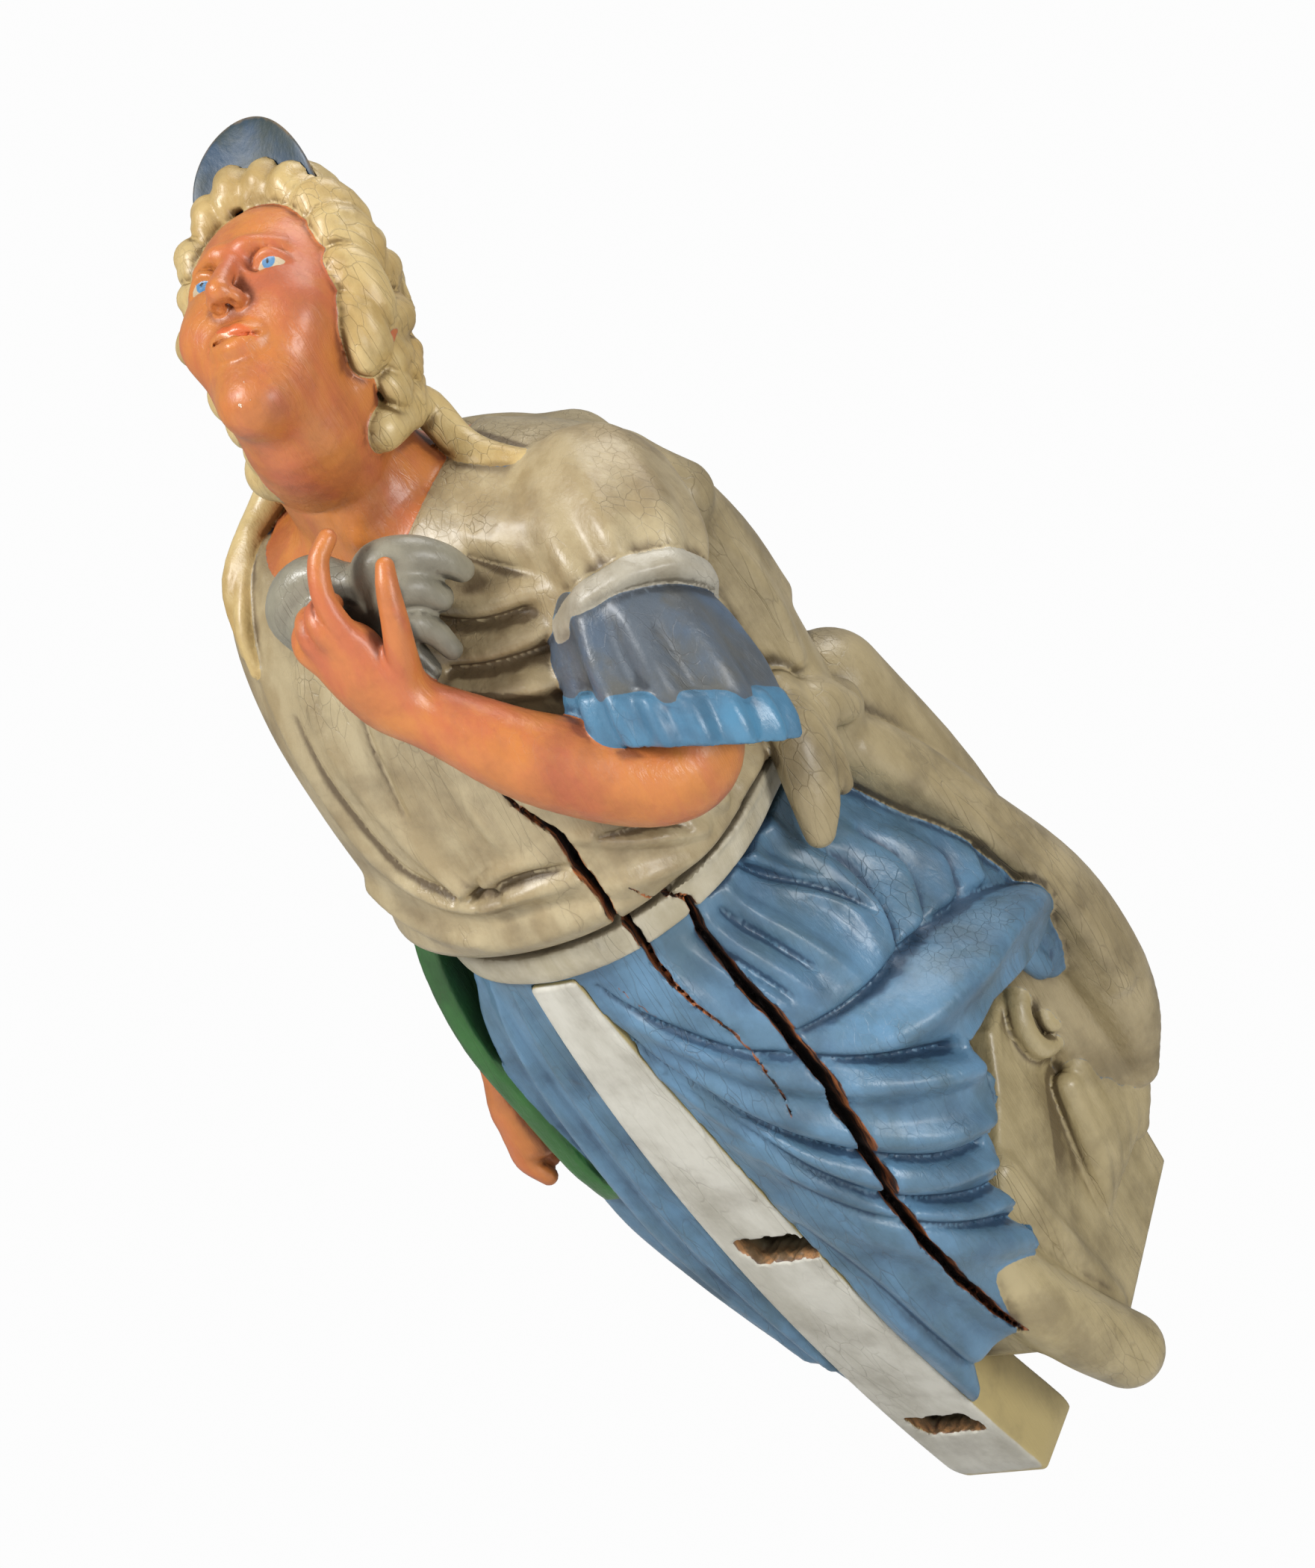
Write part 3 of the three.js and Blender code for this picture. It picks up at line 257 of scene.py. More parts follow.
# ---------------------------------------------------------------- the body as a carved loft
class FoldMap:
    """Height of carved cloth over (angle, height) on the body."""
    ANGLES = 1080
    U_LOW = -880.0
    U_HIGH = 470.0
    STEP = 2.0

    def __init__(self, radius: Callable[[Values], Values] = lambda u: 200.0) -> None:
        """Starts with no folds on a body of the given radius."""
        self.rows = int((self.U_HIGH - self.U_LOW) / self.STEP) + 1
        self.height = np.zeros((self.rows, self.ANGLES), np.float32)
        self.us = self.U_LOW + np.arange(self.rows) * self.STEP
        self.angles = -180.0 + np.arange(self.ANGLES) * 360.0 / self.ANGLES
        self.radius = radius

    def profile(self, path: Rows, steps: int = 8) -> Values:
        """Signed side distance, nearness along and shared lookup for one stroke."""
        rows = smooth_path(path, steps)
        mean_u = float(rows[:, 1].mean())
        scale = math.radians(1.0) * self.radius(mean_u)
        reach = float(rows[:, 2].max()) * 3.2
        a_lo, a_hi = rows[:, 0].min() - reach / scale, rows[:, 0].max() + reach / scale
        u_lo, u_hi = rows[:, 1].min() - reach, rows[:, 1].max() + reach
        ia = np.where((self.angles >= a_lo) & (self.angles <= a_hi))[0]
        iu = np.where((self.us >= u_lo) & (self.us <= u_hi))[0]
        if not len(ia) or not len(iu):
            return None
        aa, uu = np.meshgrid(self.angles[ia] * scale, self.us[iu])
        best = np.full(aa.shape, 1e9)
        side = np.zeros(aa.shape)
        width = np.ones(aa.shape)
        amount = np.zeros(aa.shape)
        for r0, r1 in zip(rows[:-1], rows[1:]):
            ax, ay = r0[0] * scale, r0[1]
            bx, by = r1[0] * scale, r1[1]
            ex, ey = bx - ax, by - ay
            length = math.hypot(ex, ey) + 1e-9
            t = np.clip(((aa - ax) * ex + (uu - ay) * ey) / length ** 2, 0, 1)
            dx, dy = aa - ax - t * ex, uu - ay - t * ey
            dist = np.hypot(dx, dy)
            closer = dist < best
            best = np.where(closer, dist, best)
            sign = np.sign(ex * dy - ey * dx)
            side = np.where(closer, sign * dist, side)
            width = np.where(closer, r0[2] + (r1[2] - r0[2]) * t, width)
            amount = np.where(closer, r0[3] + (r1[3] - r0[3]) * t, amount)
        return np.ix_(iu, ia), side, np.maximum(width, 0.5), amount

    def fold(self, path: Rows, sharp: float = 0.0) -> None:
        """Ridge along [angle, u, half width, height]; sharp sinks a valley beside it."""
        found = self.profile(path)
        if found is None:
            return
        where, side, width, amount = found
        s = side / width
        ridge = np.exp(-(s ** 2))
        valley = 0.0
        if sharp:
            valley = abs(sharp) * np.exp(-(((s - math.copysign(1.15, sharp)) / 0.42) ** 2))
        self.height[where] += (amount * (ridge - valley)).astype(np.float32)

    def sample(self, angle: Values, u: Values) -> Values:
        """Height of the folds at angles and levels."""
        x = (angle + 180.0) * self.ANGLES / 360.0
        y = np.clip((u - self.U_LOW) / self.STEP, 0, self.rows - 1.001)
        x0 = np.floor(x).astype(int)
        y0 = np.floor(y).astype(int)
        tx, ty = x - x0, y - y0
        x0 %= self.ANGLES
        x1 = (x0 + 1) % self.ANGLES
        h = self.height
        low = h[y0, x0] * (1 - tx) + h[y0, x1] * tx
        high = h[y0 + 1, x0] * (1 - tx) + h[y0 + 1, x1] * tx
        return low * (1 - ty) + high * ty


def front_line(u: Values) -> Values:
    """The skirt's front, curving back towards the foot."""
    t = -np.asarray(u, float)
    return 171.0 - 0.06 * (t - 40.0) - 0.00015 * (t * t - 1600.0)


class BodyLoft(Form):
    """Torso and skirt: sections across u, carved with folds."""
    SAMPLES = 700

    def __init__(self, table: Rows, top: float, bottom: float, folds: FoldMap | None,
                 straight_front: float = -70.0, end_blend: float = 10.0) -> None:
        """Smooths the table of sections."""
        rows = np.array(sorted(table, key=lambda r: r[0]), float)
        self.us = np.linspace(rows[0, 0], rows[-1, 0], self.SAMPLES)
        dense = smooth_path(rows, 24)
        order = np.argsort(dense[:, 0])
        dense = dense[order]
        self.cols = [np.interp(self.us, dense[:, 0], dense[:, k]) for k in range(1, 6)]
        front = self.cols[2]
        curve = front_line(self.us)
        mix = smooth_step(self.us, straight_front - 20, straight_front + 5)
        self.cols[2] = curve * (1 - mix) + front * mix
        self.top, self.bottom, self.folds, self.end_blend = top, bottom, folds, end_blend
        self.last, self.found = None, None
        self.low = np.array([-420.0, -480.0, bottom - FAR])
        self.high = np.array([420.0, 320.0, top + FAR])

    def at(self, u: Values) -> Values:
        """Section sizes at levels along the body."""
        return [np.interp(u, self.us, col) for col in self.cols]

    def frame(self, p: Points) -> tuple[Values, Values, Values]:
        """Angle round the body, distance out from the middle and distance to the bare surface."""
        if p is not self.last:
            self.last, self.found = p, self.measure(p)
        return self.found

    def measure(self, p: Points) -> Values:
        """The same, worked out afresh."""
        l, f, u = p[:, 0], p[:, 1], p[:, 2]
        left, right, front, back, power = self.at(u)
        middle = (front + back) * 0.175 + (front - 150.0) * 0.35
        x = l / np.where(l > 0, left, right)
        y = (f - middle) / np.where(f > middle, front - middle, middle - back)
        rho = (np.abs(x) ** power + np.abs(y) ** power) ** (1.0 / power) + 1e-9
        r = np.hypot(l, f - middle)
        return np.degrees(np.arctan2(x, y)), r, r * (1.0 - 1.0 / rho)

    def field(self, p: Points) -> Values:
        """Signed distance in millimetres, below nought inside."""
        angle, _, d = self.frame(p)
        if self.folds is not None:
            d = d - self.folds.sample(angle, p[:, 2])
        d = d * 0.93
        d = soft_max(d, p[:, 2] - self.top, self.end_blend)
        return soft_max(d, self.bottom - p[:, 2], self.end_blend)


# ---------------------------------------------------------------- meshing
def blocks_of(p: Points, side: float) -> list[np.ndarray]:
    """Rows of the points, gathered into cubes of one side."""
    if not len(p):
        return []
    cube = np.floor((p - p.min(axis=0)) / side).astype(np.int64)
    count = cube.max(axis=0) + 1
    key = (cube[:, 0] * count[1] + cube[:, 1]) * count[2] + cube[:, 2]
    order = np.argsort(key, kind="stable")
    starts = np.flatnonzero(np.diff(key[order], prepend=-1))
    return np.split(order, starts[1:])


BLOCK_SIDE = 60.0
def largest_island(verts: Points, quads: np.ndarray) -> tuple[Points, np.ndarray]:
    """The biggest joined surface alone, without crumbs and sealed pockets.

    Args:
        verts: Corner positions.
        quads: Four corner indices a face.

    Returns:
        The corners and faces that are kept.
    """
    label = np.arange(len(verts))
    settled_labels = False
    while not settled_labels:
        lowest = label.copy()
        np.minimum.at(lowest, quads.ravel(), np.repeat(label[quads].min(axis=1), quads.shape[1]))
        lowest = lowest[lowest]
        settled_labels = bool((lowest == label).all())
        label = lowest
    island = label[quads[:, 0]]
    kept = quads[island == np.bincount(island).argmax()]
    used, index = np.unique(kept, return_inverse=True)
    return verts[used], index.reshape(kept.shape)


CELL_CORNERS = np.array([[i, j, k] for k in (0, 1) for j in (0, 1) for i in (0, 1)])
CELL_EDGES = [(start, start + step) for step in (1, 2, 4) for start in range(8) if not start & step]
BAND_REACH = 1.5


class Mesher:
    """Thin band of fine cells round a surface, then one corner a cell."""

    def __init__(self, field: Callable[[Points], Values], low: Sequence[float], high: Sequence[float],
                 cell: float, levels: int, lens: "Lens | None" = None) -> None:
        """Sets out the sampling grid.

        Args:
            field: Signed distance at each point, below nought inside.
            low: Lowest corner of the box to fill.
            high: Highest corner of that box.
            cell: Side of the finest cells.
            levels: How often coarse cells are halved.
            lens: Place where the cells are finer still.
        """
        self.field, self.cell, self.levels, self.lens = field, cell, levels, lens
        if lens is not None:
            low, high = lens.box(low, high)
        self.low = np.asarray(low, float)
        self.size = np.ceil((np.asarray(high, float) - self.low) / (cell * 2 ** levels)).astype(int)
        self.span = self.size * 2 ** levels + 2
        self.unit = np.array([self.span[1] * self.span[2], self.span[2], 1])

    def values(self, p: Points) -> Values:
        """Field at many points, taken block by block so that far forms cost nothing."""
        out = np.empty(len(p))
        for rows in blocks_of(p, BLOCK_SIDE):
            out[rows] = self.field(p[rows])
        return out

    def real(self, q: Points) -> Points:
        """Grid positions to real ones."""
        return q if self.lens is None else self.lens.real(q)

    def place(self, nodes: np.ndarray) -> Points:
        """Grid positions of numbered nodes."""
        parts = np.stack([nodes // self.unit[0], nodes // self.unit[1] % self.span[1],
                          nodes % self.span[2]], 1)
        return self.low + parts * self.cell

    def band(self) -> np.ndarray:
        """Numbers of the fine cells near the surface, found from coarse to fine."""
        step = self.cell * 2 ** self.levels
        grid = np.stack(np.meshgrid(*[np.arange(n) for n in self.size], indexing="ij"), -1).reshape(-1, 3)
        for _ in range(self.levels):
            centre = self.low + (grid + 0.5) * step
            local = 1.0 if self.lens is None else self.lens.scale(centre)
            near = np.abs(self.values(self.real(centre))) < step * BAND_REACH * local
            grid = (grid[near][:, None] * 2 + CELL_CORNERS).reshape(-1, 3)
            step /= 2
        return np.sort(grid @ self.unit)

    def crossings(self, nodes: np.ndarray, d: Values) -> np.ndarray:
        """The four cells round each grid edge that the surface crosses, turned outwards."""
        quads = []
        for axis in range(3):
            across, along = self.unit[(axis + 1) % 3], self.unit[(axis + 2) % 3]
            other = np.minimum(np.searchsorted(nodes, nodes + self.unit[axis]), len(nodes) - 1)
            cut = (nodes[other] == nodes + self.unit[axis]) & ((d < 0) != (d[other] < 0))
            base = nodes[cut]
            quad = np.stack([base, base - across, base - across - along, base - along], 1)
            inside = d[cut] < 0
            quad[inside] = quad[inside][:, ::-1]
            quads.append(quad)
        return np.concatenate(quads)

    def build(self) -> tuple[Points, np.ndarray]:
        """Corners and quads of the closed surface."""
        cells = self.band()
        around = CELL_CORNERS @ self.unit
        nodes, d = np.empty(0, np.int64), np.empty(0)
        missing = cells
        while len(missing):
            fresh = np.setdiff1d((missing[:, None] + around).ravel(), nodes)
            nodes = np.concatenate([nodes, fresh])
            d = np.concatenate([d, self.values(self.real(self.place(fresh)))])
            order = np.argsort(nodes, kind="stable")
            nodes, d = nodes[order], d[order]
            quads = self.crossings(nodes, d)
            missing = np.setdiff1d(quads, cells)
            cells = np.union1d(cells, missing)
        cells = np.unique(quads)
        index = np.searchsorted(nodes, cells[:, None] + around)
        position, depth = self.place(nodes)[index], d[index]
        total, count = np.zeros((len(cells), 3)), np.zeros(len(cells))
        for start, end in CELL_EDGES:
            cut = (depth[:, start] < 0) != (depth[:, end] < 0)
            share = depth[:, start] / np.where(cut, depth[:, start] - depth[:, end], 1.0)
            along = (position[:, end] - position[:, start]) * share[:, None]
            total += (position[:, start] + along) * cut[:, None]
            count += cut
        return largest_island(self.real(total / count[:, None]), np.searchsorted(cells, quads))


class Lens:
    """Stretches the sampling grid round a centre, so that cells there are finer."""

    def __init__(self, centre: Sequence[float], gain: float, inner: float, outer: float) -> None:
        """Sets the gain and the two radii between which it fades."""
        self.centre = np.asarray(centre, float)
        self.slope = 1.0 / gain
        self.inner, self.outer = inner * gain, inner * gain + (outer - inner)
        self.offset = self.radius(np.array([self.outer]))[0] - self.outer

    def radius(self, rho: Values) -> Values:
        """Real distance from the centre for a grid distance."""
        t = np.clip((rho - self.inner) / (self.outer - self.inner), 0, 1)
        band = (self.outer - self.inner) * (self.slope * t + (1 - self.slope) * (t ** 3 - t ** 4 / 2))
        return np.minimum(rho, self.inner) * self.slope + band + np.maximum(rho - self.outer, 0)

    def real(self, q: Points) -> Points:
        """Grid positions to real ones."""
        v = q - self.centre
        rho = np.linalg.norm(v, axis=1) + 1e-9
        return self.centre + v * (self.radius(rho) / rho)[:, None]

    def scale(self, q: Points) -> Values:
        """Size of a real step for a grid step of one."""
        rho = np.linalg.norm(q - self.centre, axis=1) + 1e-9
        t = np.clip((rho - self.inner) / (self.outer - self.inner), 0, 1)
        return np.maximum(self.radius(rho) / rho, self.slope + (1 - self.slope) * t * t * (3 - 2 * t))

    def box(self, low: Sequence[float], high: Sequence[float]) -> tuple[Points, Points]:
        """Grid box that covers a real box."""
        extra = -self.offset + 20
        return np.asarray(low, float) - extra, np.asarray(high, float) + extra


BACK_F = -320.0
MOUNT_U = -300.0
TANG_U = -966.0
TIMBER_L = -12.0

HEAD_SCALE = 1.18
HEAD_TALL = 1.12
HEAD_AT = np.array([2.0, -2.0, 614.0])


def head_axes() -> Points:
    """Axes of the turned and tilted head."""
    face = np.array([0.097, 0.426, 0.9])
    face /= np.linalg.norm(face)
    ear = np.array([0.981, -0.192, -0.014])
    ear -= face * (ear @ face)
    ear /= np.linalg.norm(ear)
    crown = np.cross(ear, face)
    crown = crown if crown @ np.array([0, -0.9, 0.4]) > 0 else -crown
    return np.stack([ear, face, crown], 1)


HEAD_AXES = head_axes()


def in_head(ear: float, face: float, crown: float) -> Points:
    """A place in the body frame from one in the head."""
    return HEAD_AT + HEAD_AXES @ (np.array([ear, face, crown * HEAD_TALL]) * HEAD_SCALE)


def head_egg(c: Sequence[float], s: Sequence[float]) -> "Egg":
    """An ellipsoid set out in the head."""
    return Egg(in_head(*c), np.array(s) * HEAD_SCALE, axes=HEAD_AXES)


def head_limb(path: Rows, **kw: float) -> "Limb":
    """A limb set out in the head."""
    return Limb([[*in_head(a, b, c), r * HEAD_SCALE] for a, b, c, r in path], **kw)


# height, half width left, half width right, front, back, squareness
BODY = [
    [452, 90, 100, 66, -86, 2.0],
    [430, 150, 160, 84, -110, 2.1],
    [400, 196, 212, 104, -140, 2.3],
    [345, 222, 226, 142, -190, 2.5],
    [270, 222, 222, 180, -250, 2.5],
    [180, 214, 214, 196, -300, 2.5],
    [100, 206, 206, 200, -330, 2.5],
    [40, 200, 200, 198, -345, 2.5],
    [12, 188, 190, 188, -350, 2.4],
    [-4, 183, 178, 173, -350, 2.3],
    [-60, 182, 178, 168, -350, 2.3],
    [-110, 206, 196, 164, -350, 2.4],
    [-190, 246, 212, 152, -350, 2.5],
    [-290, 282, 216, 138, -350, 2.6],
    [-380, 280, 214, 127, -350, 2.7],
    [-440, 240, 208, 118, -350, 2.8],
    [-520, 210, 192, 104, -350, 2.8],
    [-610, 190, 170, 86, -350, 2.9],
    [-700, 168, 146, 62, -350, 3.0],
    [-780, 140, 122, 38, -350, 3.0],
    [-860, 106, 96, 14, -350, 3.0],
]

# where the skirt ends: angle round the body, height
HEM = [
    [-180, -640], [-60, -650], [-45, -690], [-36, -716], [-30, -790], [0, -812], [20, -800], [26, -775],
    [30, -728], [45, -706],
    [52, -698], [58, -682], [66, -660], [70, -636], [72, -600], [71, -580], [73, -520], [68, -470],
    [69, -350], [71, -318],
    [90, -318], [104, -345], [120, -372], [140, -380], [180, -420],
]

# carved folds of the skirt: rows of angle, height, half width, height of the fold; then the side valley
SKIRT_RIDGES = [
    ([[38, -222, 12, 6], [48, -236, 20, 16], [62, -246, 26, 26], [76, -252, 28, 30], [90, -262, 28, 32],
      [102, -276, 26, 32], [113, -306, 24, 28], [120, -340, 20, 18]], 0.0),
    ([[12, -120, 8, 3], [20, -168, 14, 9], [28, -218, 17, 13], [38, -262, 18, 15], [50, -300, 18, 16],
      [66, -338, 15, 14]], 0.0),
    ([[8, -150, 8, 3], [14, -196, 13, 9], [22, -262, 17, 14], [32, -322, 18, 16], [46, -372, 18, 17],
      [64, -410, 16, 15]], 0.0),
    ([[8, -190, 7, 3], [14, -262, 13, 9], [21, -335, 16, 13], [31, -392, 17, 15], [46, -438, 16, 16],
      [66, -478, 14, 14]], 0.0),
    ([[11, -300, 8, 4], [16, -352, 12, 9], [23, -408, 15, 12], [34, -456, 16, 13], [50, -505, 15, 13],
      [69, -545, 12, 12]], 0.0),
    ([[14, -400, 10, 4], [21, -446, 16, 9], [34, -502, 24, 13], [50, -558, 28, 16], [70, -612, 24, 16]],
     0.0),
    ([[11, -400, 9, 3], [17, -470, 13, 7], [22, -540, 15, 10], [26, -620, 17, 12], [31, -708, 16, 12]],
     0.0),
    ([[14, -560, 9, 3], [17, -640, 11, 7], [21, -720, 12, 8], [24, -785, 12, 8]], 0.0),
    ([[40, -560, 14, 4], [44, -620, 18, 9], [47, -690, 18, 12]], 0.0),
    ([[60, -44, 8, 4], [62, -95, 11, 9], [63, -140, 12, 8], [63, -185, 10, 3]], 0.0),
    ([[50, -52, 8, 4], [51, -100, 11, 8], [52, -150, 11, 6], [53, -185, 9, 2]], 0.0),
    ([[40, -56, 8, 3], [42, -110, 11, 7], [44, -160, 10, 4]], 0.0),
    ([[30, -60, 7, 3], [31, -105, 10, 6], [32, -150, 10, 4]], 0.0),
    ([[72, -30, 9, 6], [77, -80, 13, 11], [80, -130, 13, 10], [76, -178, 11, 4]], 0.0),
    ([[86, -40, 12, 7], [88, -100, 16, 12], [86, -150, 14, 10], [79, -190, 10, 3]], 0.0),
    ([[98, -110, 10, 6], [98, -160, 11, 12], [92, -200, 9, 6]], 0.0),
    ([[106, -150, 9, 5], [106, -195, 11, 12], [101, -226, 8, 5]], 0.0),
    ([[114, -190, 9, 4], [114, -225, 11, 10], [112, -250, 8, 4]], 0.0),
    ([[-22, -60, 6, 3], [-21, -150, 9, 7], [-22, -300, 12, 8], [-24, -480, 13, 9], [-27, -700, 12, 8]],
     0.0),
    ([[-33, -60, 7, 4], [-31, -150, 10, 9], [-31, -300, 13, 11], [-33, -480, 14, 11], [-36, -690, 13, 8]],
     0.0),
    ([[-45, -60, 8, 5], [-43, -150, 12, 11], [-42, -300, 15, 12], [-44, -480, 16, 12], [-47, -680, 14, 8]],
     0.0),
    ([[-60, -60, 9, 5], [-58, -200, 14, 11], [-58, -400, 16, 12], [-60, -640, 16, 9]], 0.0),
    ([[-78, -60, 9, 5], [-76, -250, 15, 11], [-78, -600, 16, 10]], 0.0),
    ([[-98, -60, 9, 5], [-96, -250, 16, 10], [-98, -600, 16, 8]], 0.0),
]
SKIRT_VALLEYS = [
    [[10, -62, 4, 3], [14, -100, 5, 6], [20, -142, 6, 8], [28, -188, 6, 9], [34, -208, 6, 10],
     [42, -232, 7, 12], [52, -268, 8, 18], [66, -306, 9, 22]],
    [[40, -196, 5, 7], [50, -200, 6, 10], [60, -204, 7, 13], [70, -208, 8, 16], [84, -211, 8, 15],
     [99, -230, 7, 13], [110, -258, 7, 12], [119, -292, 6, 10]],
    [[5, -108, 4, 4], [9, -162, 5, 8], [14, -212, 6, 10], [20, -288, 7, 13], [28, -341, 7, 14],
     [40, -388, 7, 14], [52, -420, 7, 14], [66, -446, 7, 12]],
    [[9, -190, 4, 4], [13, -244, 5, 7], [17, -300, 6, 10], [22, -362, 7, 12], [30, -412, 7, 12],
     [42, -456, 7, 13], [56, -496, 7, 12], [70, -522, 7, 10]],
    [[13, -330, 4, 3], [18, -384, 5, 6], [27, -434, 6, 10], [38, -478, 7, 12], [52, -526, 7, 12],
     [71, -584, 7, 12]],
    [[11, -440, 5, 3], [16, -500, 6, 6], [20, -560, 7, 7], [23, -640, 7, 8], [27, -720, 6, 7]],
    [[66, -18, 4, 5], [72, -55, 6, 11], [79, -98, 7, 14], [83, -134, 6, 8], [84, -160, 4, 3]],
    [[55, -52, 4, 4], [57, -100, 5, 6], [58, -150, 5, 4]],
    [[45, -56, 4, 4], [47, -110, 5, 6], [48, -160, 4, 3]],
    [[92, -80, 5, 6], [93, -130, 6, 11], [89, -170, 6, 12], [81, -200, 6, 10]],
    [[102, -120, 5, 6], [102, -165, 6, 12], [97, -205, 6, 12], [90, -220, 5, 8]],
    [[110, -165, 5, 5], [110, -210, 6, 11], [106, -238, 5, 8]],
]
BLOUSE_RIDGES = [
    [[-38, 330, 10, 3], [-32, 240, 14, 6], [-26, 150, 15, 7], [-14, 100, 11, 8], [-4, 84, 9, 9]],
    [[-24, 330, 10, 3], [-18, 240, 12, 5], [-11, 160, 12, 6], [-4, 104, 9, 9]],
    [[0, 82, 8, 10], [10, 86, 9, 9], [20, 84, 10, 6], [30, 80, 8, 3]],
    [[4, 108, 8, 7], [12, 118, 9, 7], [22, 116, 9, 4]],
    [[12, 200, 9, 3], [13, 170, 10, 7], [14, 140, 9, 3]],
    [[-40, 100, 12, 8], [-30, 76, 13, 9], [-20, 56, 12, 8], [-8, 44, 10, 6]],
    [[33, 124, 8, 5], [42, 104, 10, 10], [52, 78, 12, 11], [62, 50, 12, 9]],
    [[44, 128, 8, 6], [53, 108, 9, 9], [62, 84, 10, 8], [72, 52, 11, 7]],
    [[34, 62, 9, 4], [46, 46, 11, 7], [60, 26, 11, 7], [76, 22, 11, 6]],
    [[20, 300, 10, 8], [30, 290, 12, 12], [42, 278, 12, 12], [52, 272, 10, 8]],
    [[18, 338, 8, 7], [28, 326, 10, 11], [40, 322, 11, 12], [52, 322, 10, 9]],
    [[22, 378, 8, 6], [30, 362, 10, 10], [42, 356, 11, 10], [54, 346, 10, 8]],
    [[38, 408, 8, 4], [47, 386, 10, 8], [56, 366, 11, 9]],
    [[80, 40, 12, 8], [92, 40, 14, 10], [106, 44, 14, 8]],
]
BLOUSE_VALLEYS = [
    [[-9, 330, 6, 4], [-9, 262, 7, 6], [-9, 200, 7, 4]],
    [[-30, 300, 6, 3], [-27, 220, 7, 5], [-20, 140, 6, 5], [-8, 96, 5, 6]],
    [[-3, 92, 5, 10], [2, 96, 6, 10], [6, 90, 5, 7]],
    [[8, 100, 5, 6], [18, 102, 6, 6], [30, 94, 5, 4]],
    [[38, 114, 5, 8], [46, 98, 7, 14], [54, 84, 6, 11], [58, 66, 5, 5]],
    [[48, 118, 4, 5], [58, 96, 5, 7], [66, 70, 5, 5]],
    [[20, 316, 5, 8], [29, 308, 7, 12], [40, 302, 7, 11], [50, 298, 5, 7]],
    [[17, 362, 5, 8], [24, 350, 6, 12], [33, 342, 6, 10], [44, 338, 6, 9]],
    [[34, 394, 4, 4], [42, 376, 6, 8], [50, 360, 6, 8], [57, 344, 5, 7]],
    [[0, 60, 5, 2], [20, 62, 6, 3], [40, 30, 5, 2]],
]


def body_radius(u: Values) -> Values:
    """Rough radius of the body at a level."""
    return float(np.interp(u, [r[0] for r in BODY[::-1]], [(r[1] + r[3] + 60) / 2 for r in BODY[::-1]]))


FOLD_GAIN = 1.25


def carve_folds() -> "FoldMap":
    """The folds of skirt and blouse."""
    folds = FoldMap(body_radius)
    for path, sharp in SKIRT_RIDGES:
        folds.fold(path, sharp)
    for path in BLOUSE_RIDGES:
        folds.fold(path)
    for path in SKIRT_VALLEYS + BLOUSE_VALLEYS:
        folds.fold([[a, u, w, -h] for a, u, w, h in path])
    folds.height *= FOLD_GAIN
    return folds


FOLDS = carve_folds()
LOFT = BodyLoft(BODY, 452, -860, FOLDS)


class Skirt(Form):
    """The folded skirt with its uneven hem."""

    def __init__(self) -> None:
        """Smooths the hem line."""
        self.low, self.high = np.array([-420., -480., -880.]), np.array([420., 320., 30.])
        rows = np.array(HEM, float)
        self.hem_a, self.hem_u = rows[:, 0], rows[:, 1]

    def field(self, p: Points) -> Values:
        """Signed distance in millimetres, below nought inside."""
        angle, _, bare = LOFT.frame(p)
        d = (bare - LOFT.folds.sample(angle, p[:, 2])) * 0.62
        hem = np.interp(angle, self.hem_a, self.hem_u)
        slope = np.abs(np.interp(angle + 1.0, self.hem_a, self.hem_u) - np.interp(angle - 1.0, self.hem_a,
                                                                                  self.hem_u)) / 7.0
        d = soft_max(d, (hem - p[:, 2]) / np.sqrt(1 + slope ** 2), 5.0)
        return soft_max(d, p[:, 2] + 30.0, 6.0)


class Belt(Form):
    """The plain belt round the waist."""

    def __init__(self) -> None:
        """Takes the box of the waist."""
        self.low, self.high = np.array([-420., -480., -120.]), np.array([420., 320., 60.])

    def middle(self, angle: Values) -> Values:
        """Level of the belt round the body."""
        return -24.0 + 0.27 * np.clip(angle, 0, 90) + 0.05 * np.clip(-angle, 0, 60)

    def field(self, p: Points) -> Values:
        """Signed distance in millimetres, below nought inside."""
        angle, _, bare = LOFT.frame(p)
        off = np.abs(p[:, 2] - self.middle(angle))
        return soft_max(bare * 0.95 - 9.0 + 0.008 * off ** 2, off - 18.5, 5.0)


class Blouse(Form):
    """The bodice: the torso above the belt, open at the neck."""

    def __init__(self) -> None:
        """Takes the box of the blouse."""
        self.low, self.high = np.array([-420., -480., -60.]), np.array([420., 320., 520.])

    def opening(self, p: Points) -> Values:
        """Field of the neck opening, seen from the front."""
        l = p[:, 0] + 22.0
        u = p[:, 2] - 500.0
        edge = np.hypot(l / 1.22, u / 1.0) - 108.0 + 0.10 * l
        return edge

    def field(self, p: Points) -> Values:
        """Signed distance in millimetres, below nought inside."""
        angle, _, bare = LOFT.frame(p)
        tuck = -1.0 + 0.27 * np.clip(angle, 0, 90)
        roll = 9.0 * np.exp(-((p[:, 2] - tuck - 30.0) / 20.0) ** 2) * (1.0 - smooth_step(angle, 20.0, 55.0))
        d = (bare - LOFT.folds.sample(angle, p[:, 2]) - roll) * 0.7
        d = soft_max(d, tuck - p[:, 2], 16.0)
        d = soft_max(d, p[:, 2] - 452.0, 20.0)
        return soft_max(d, -self.opening(p), 6.0)


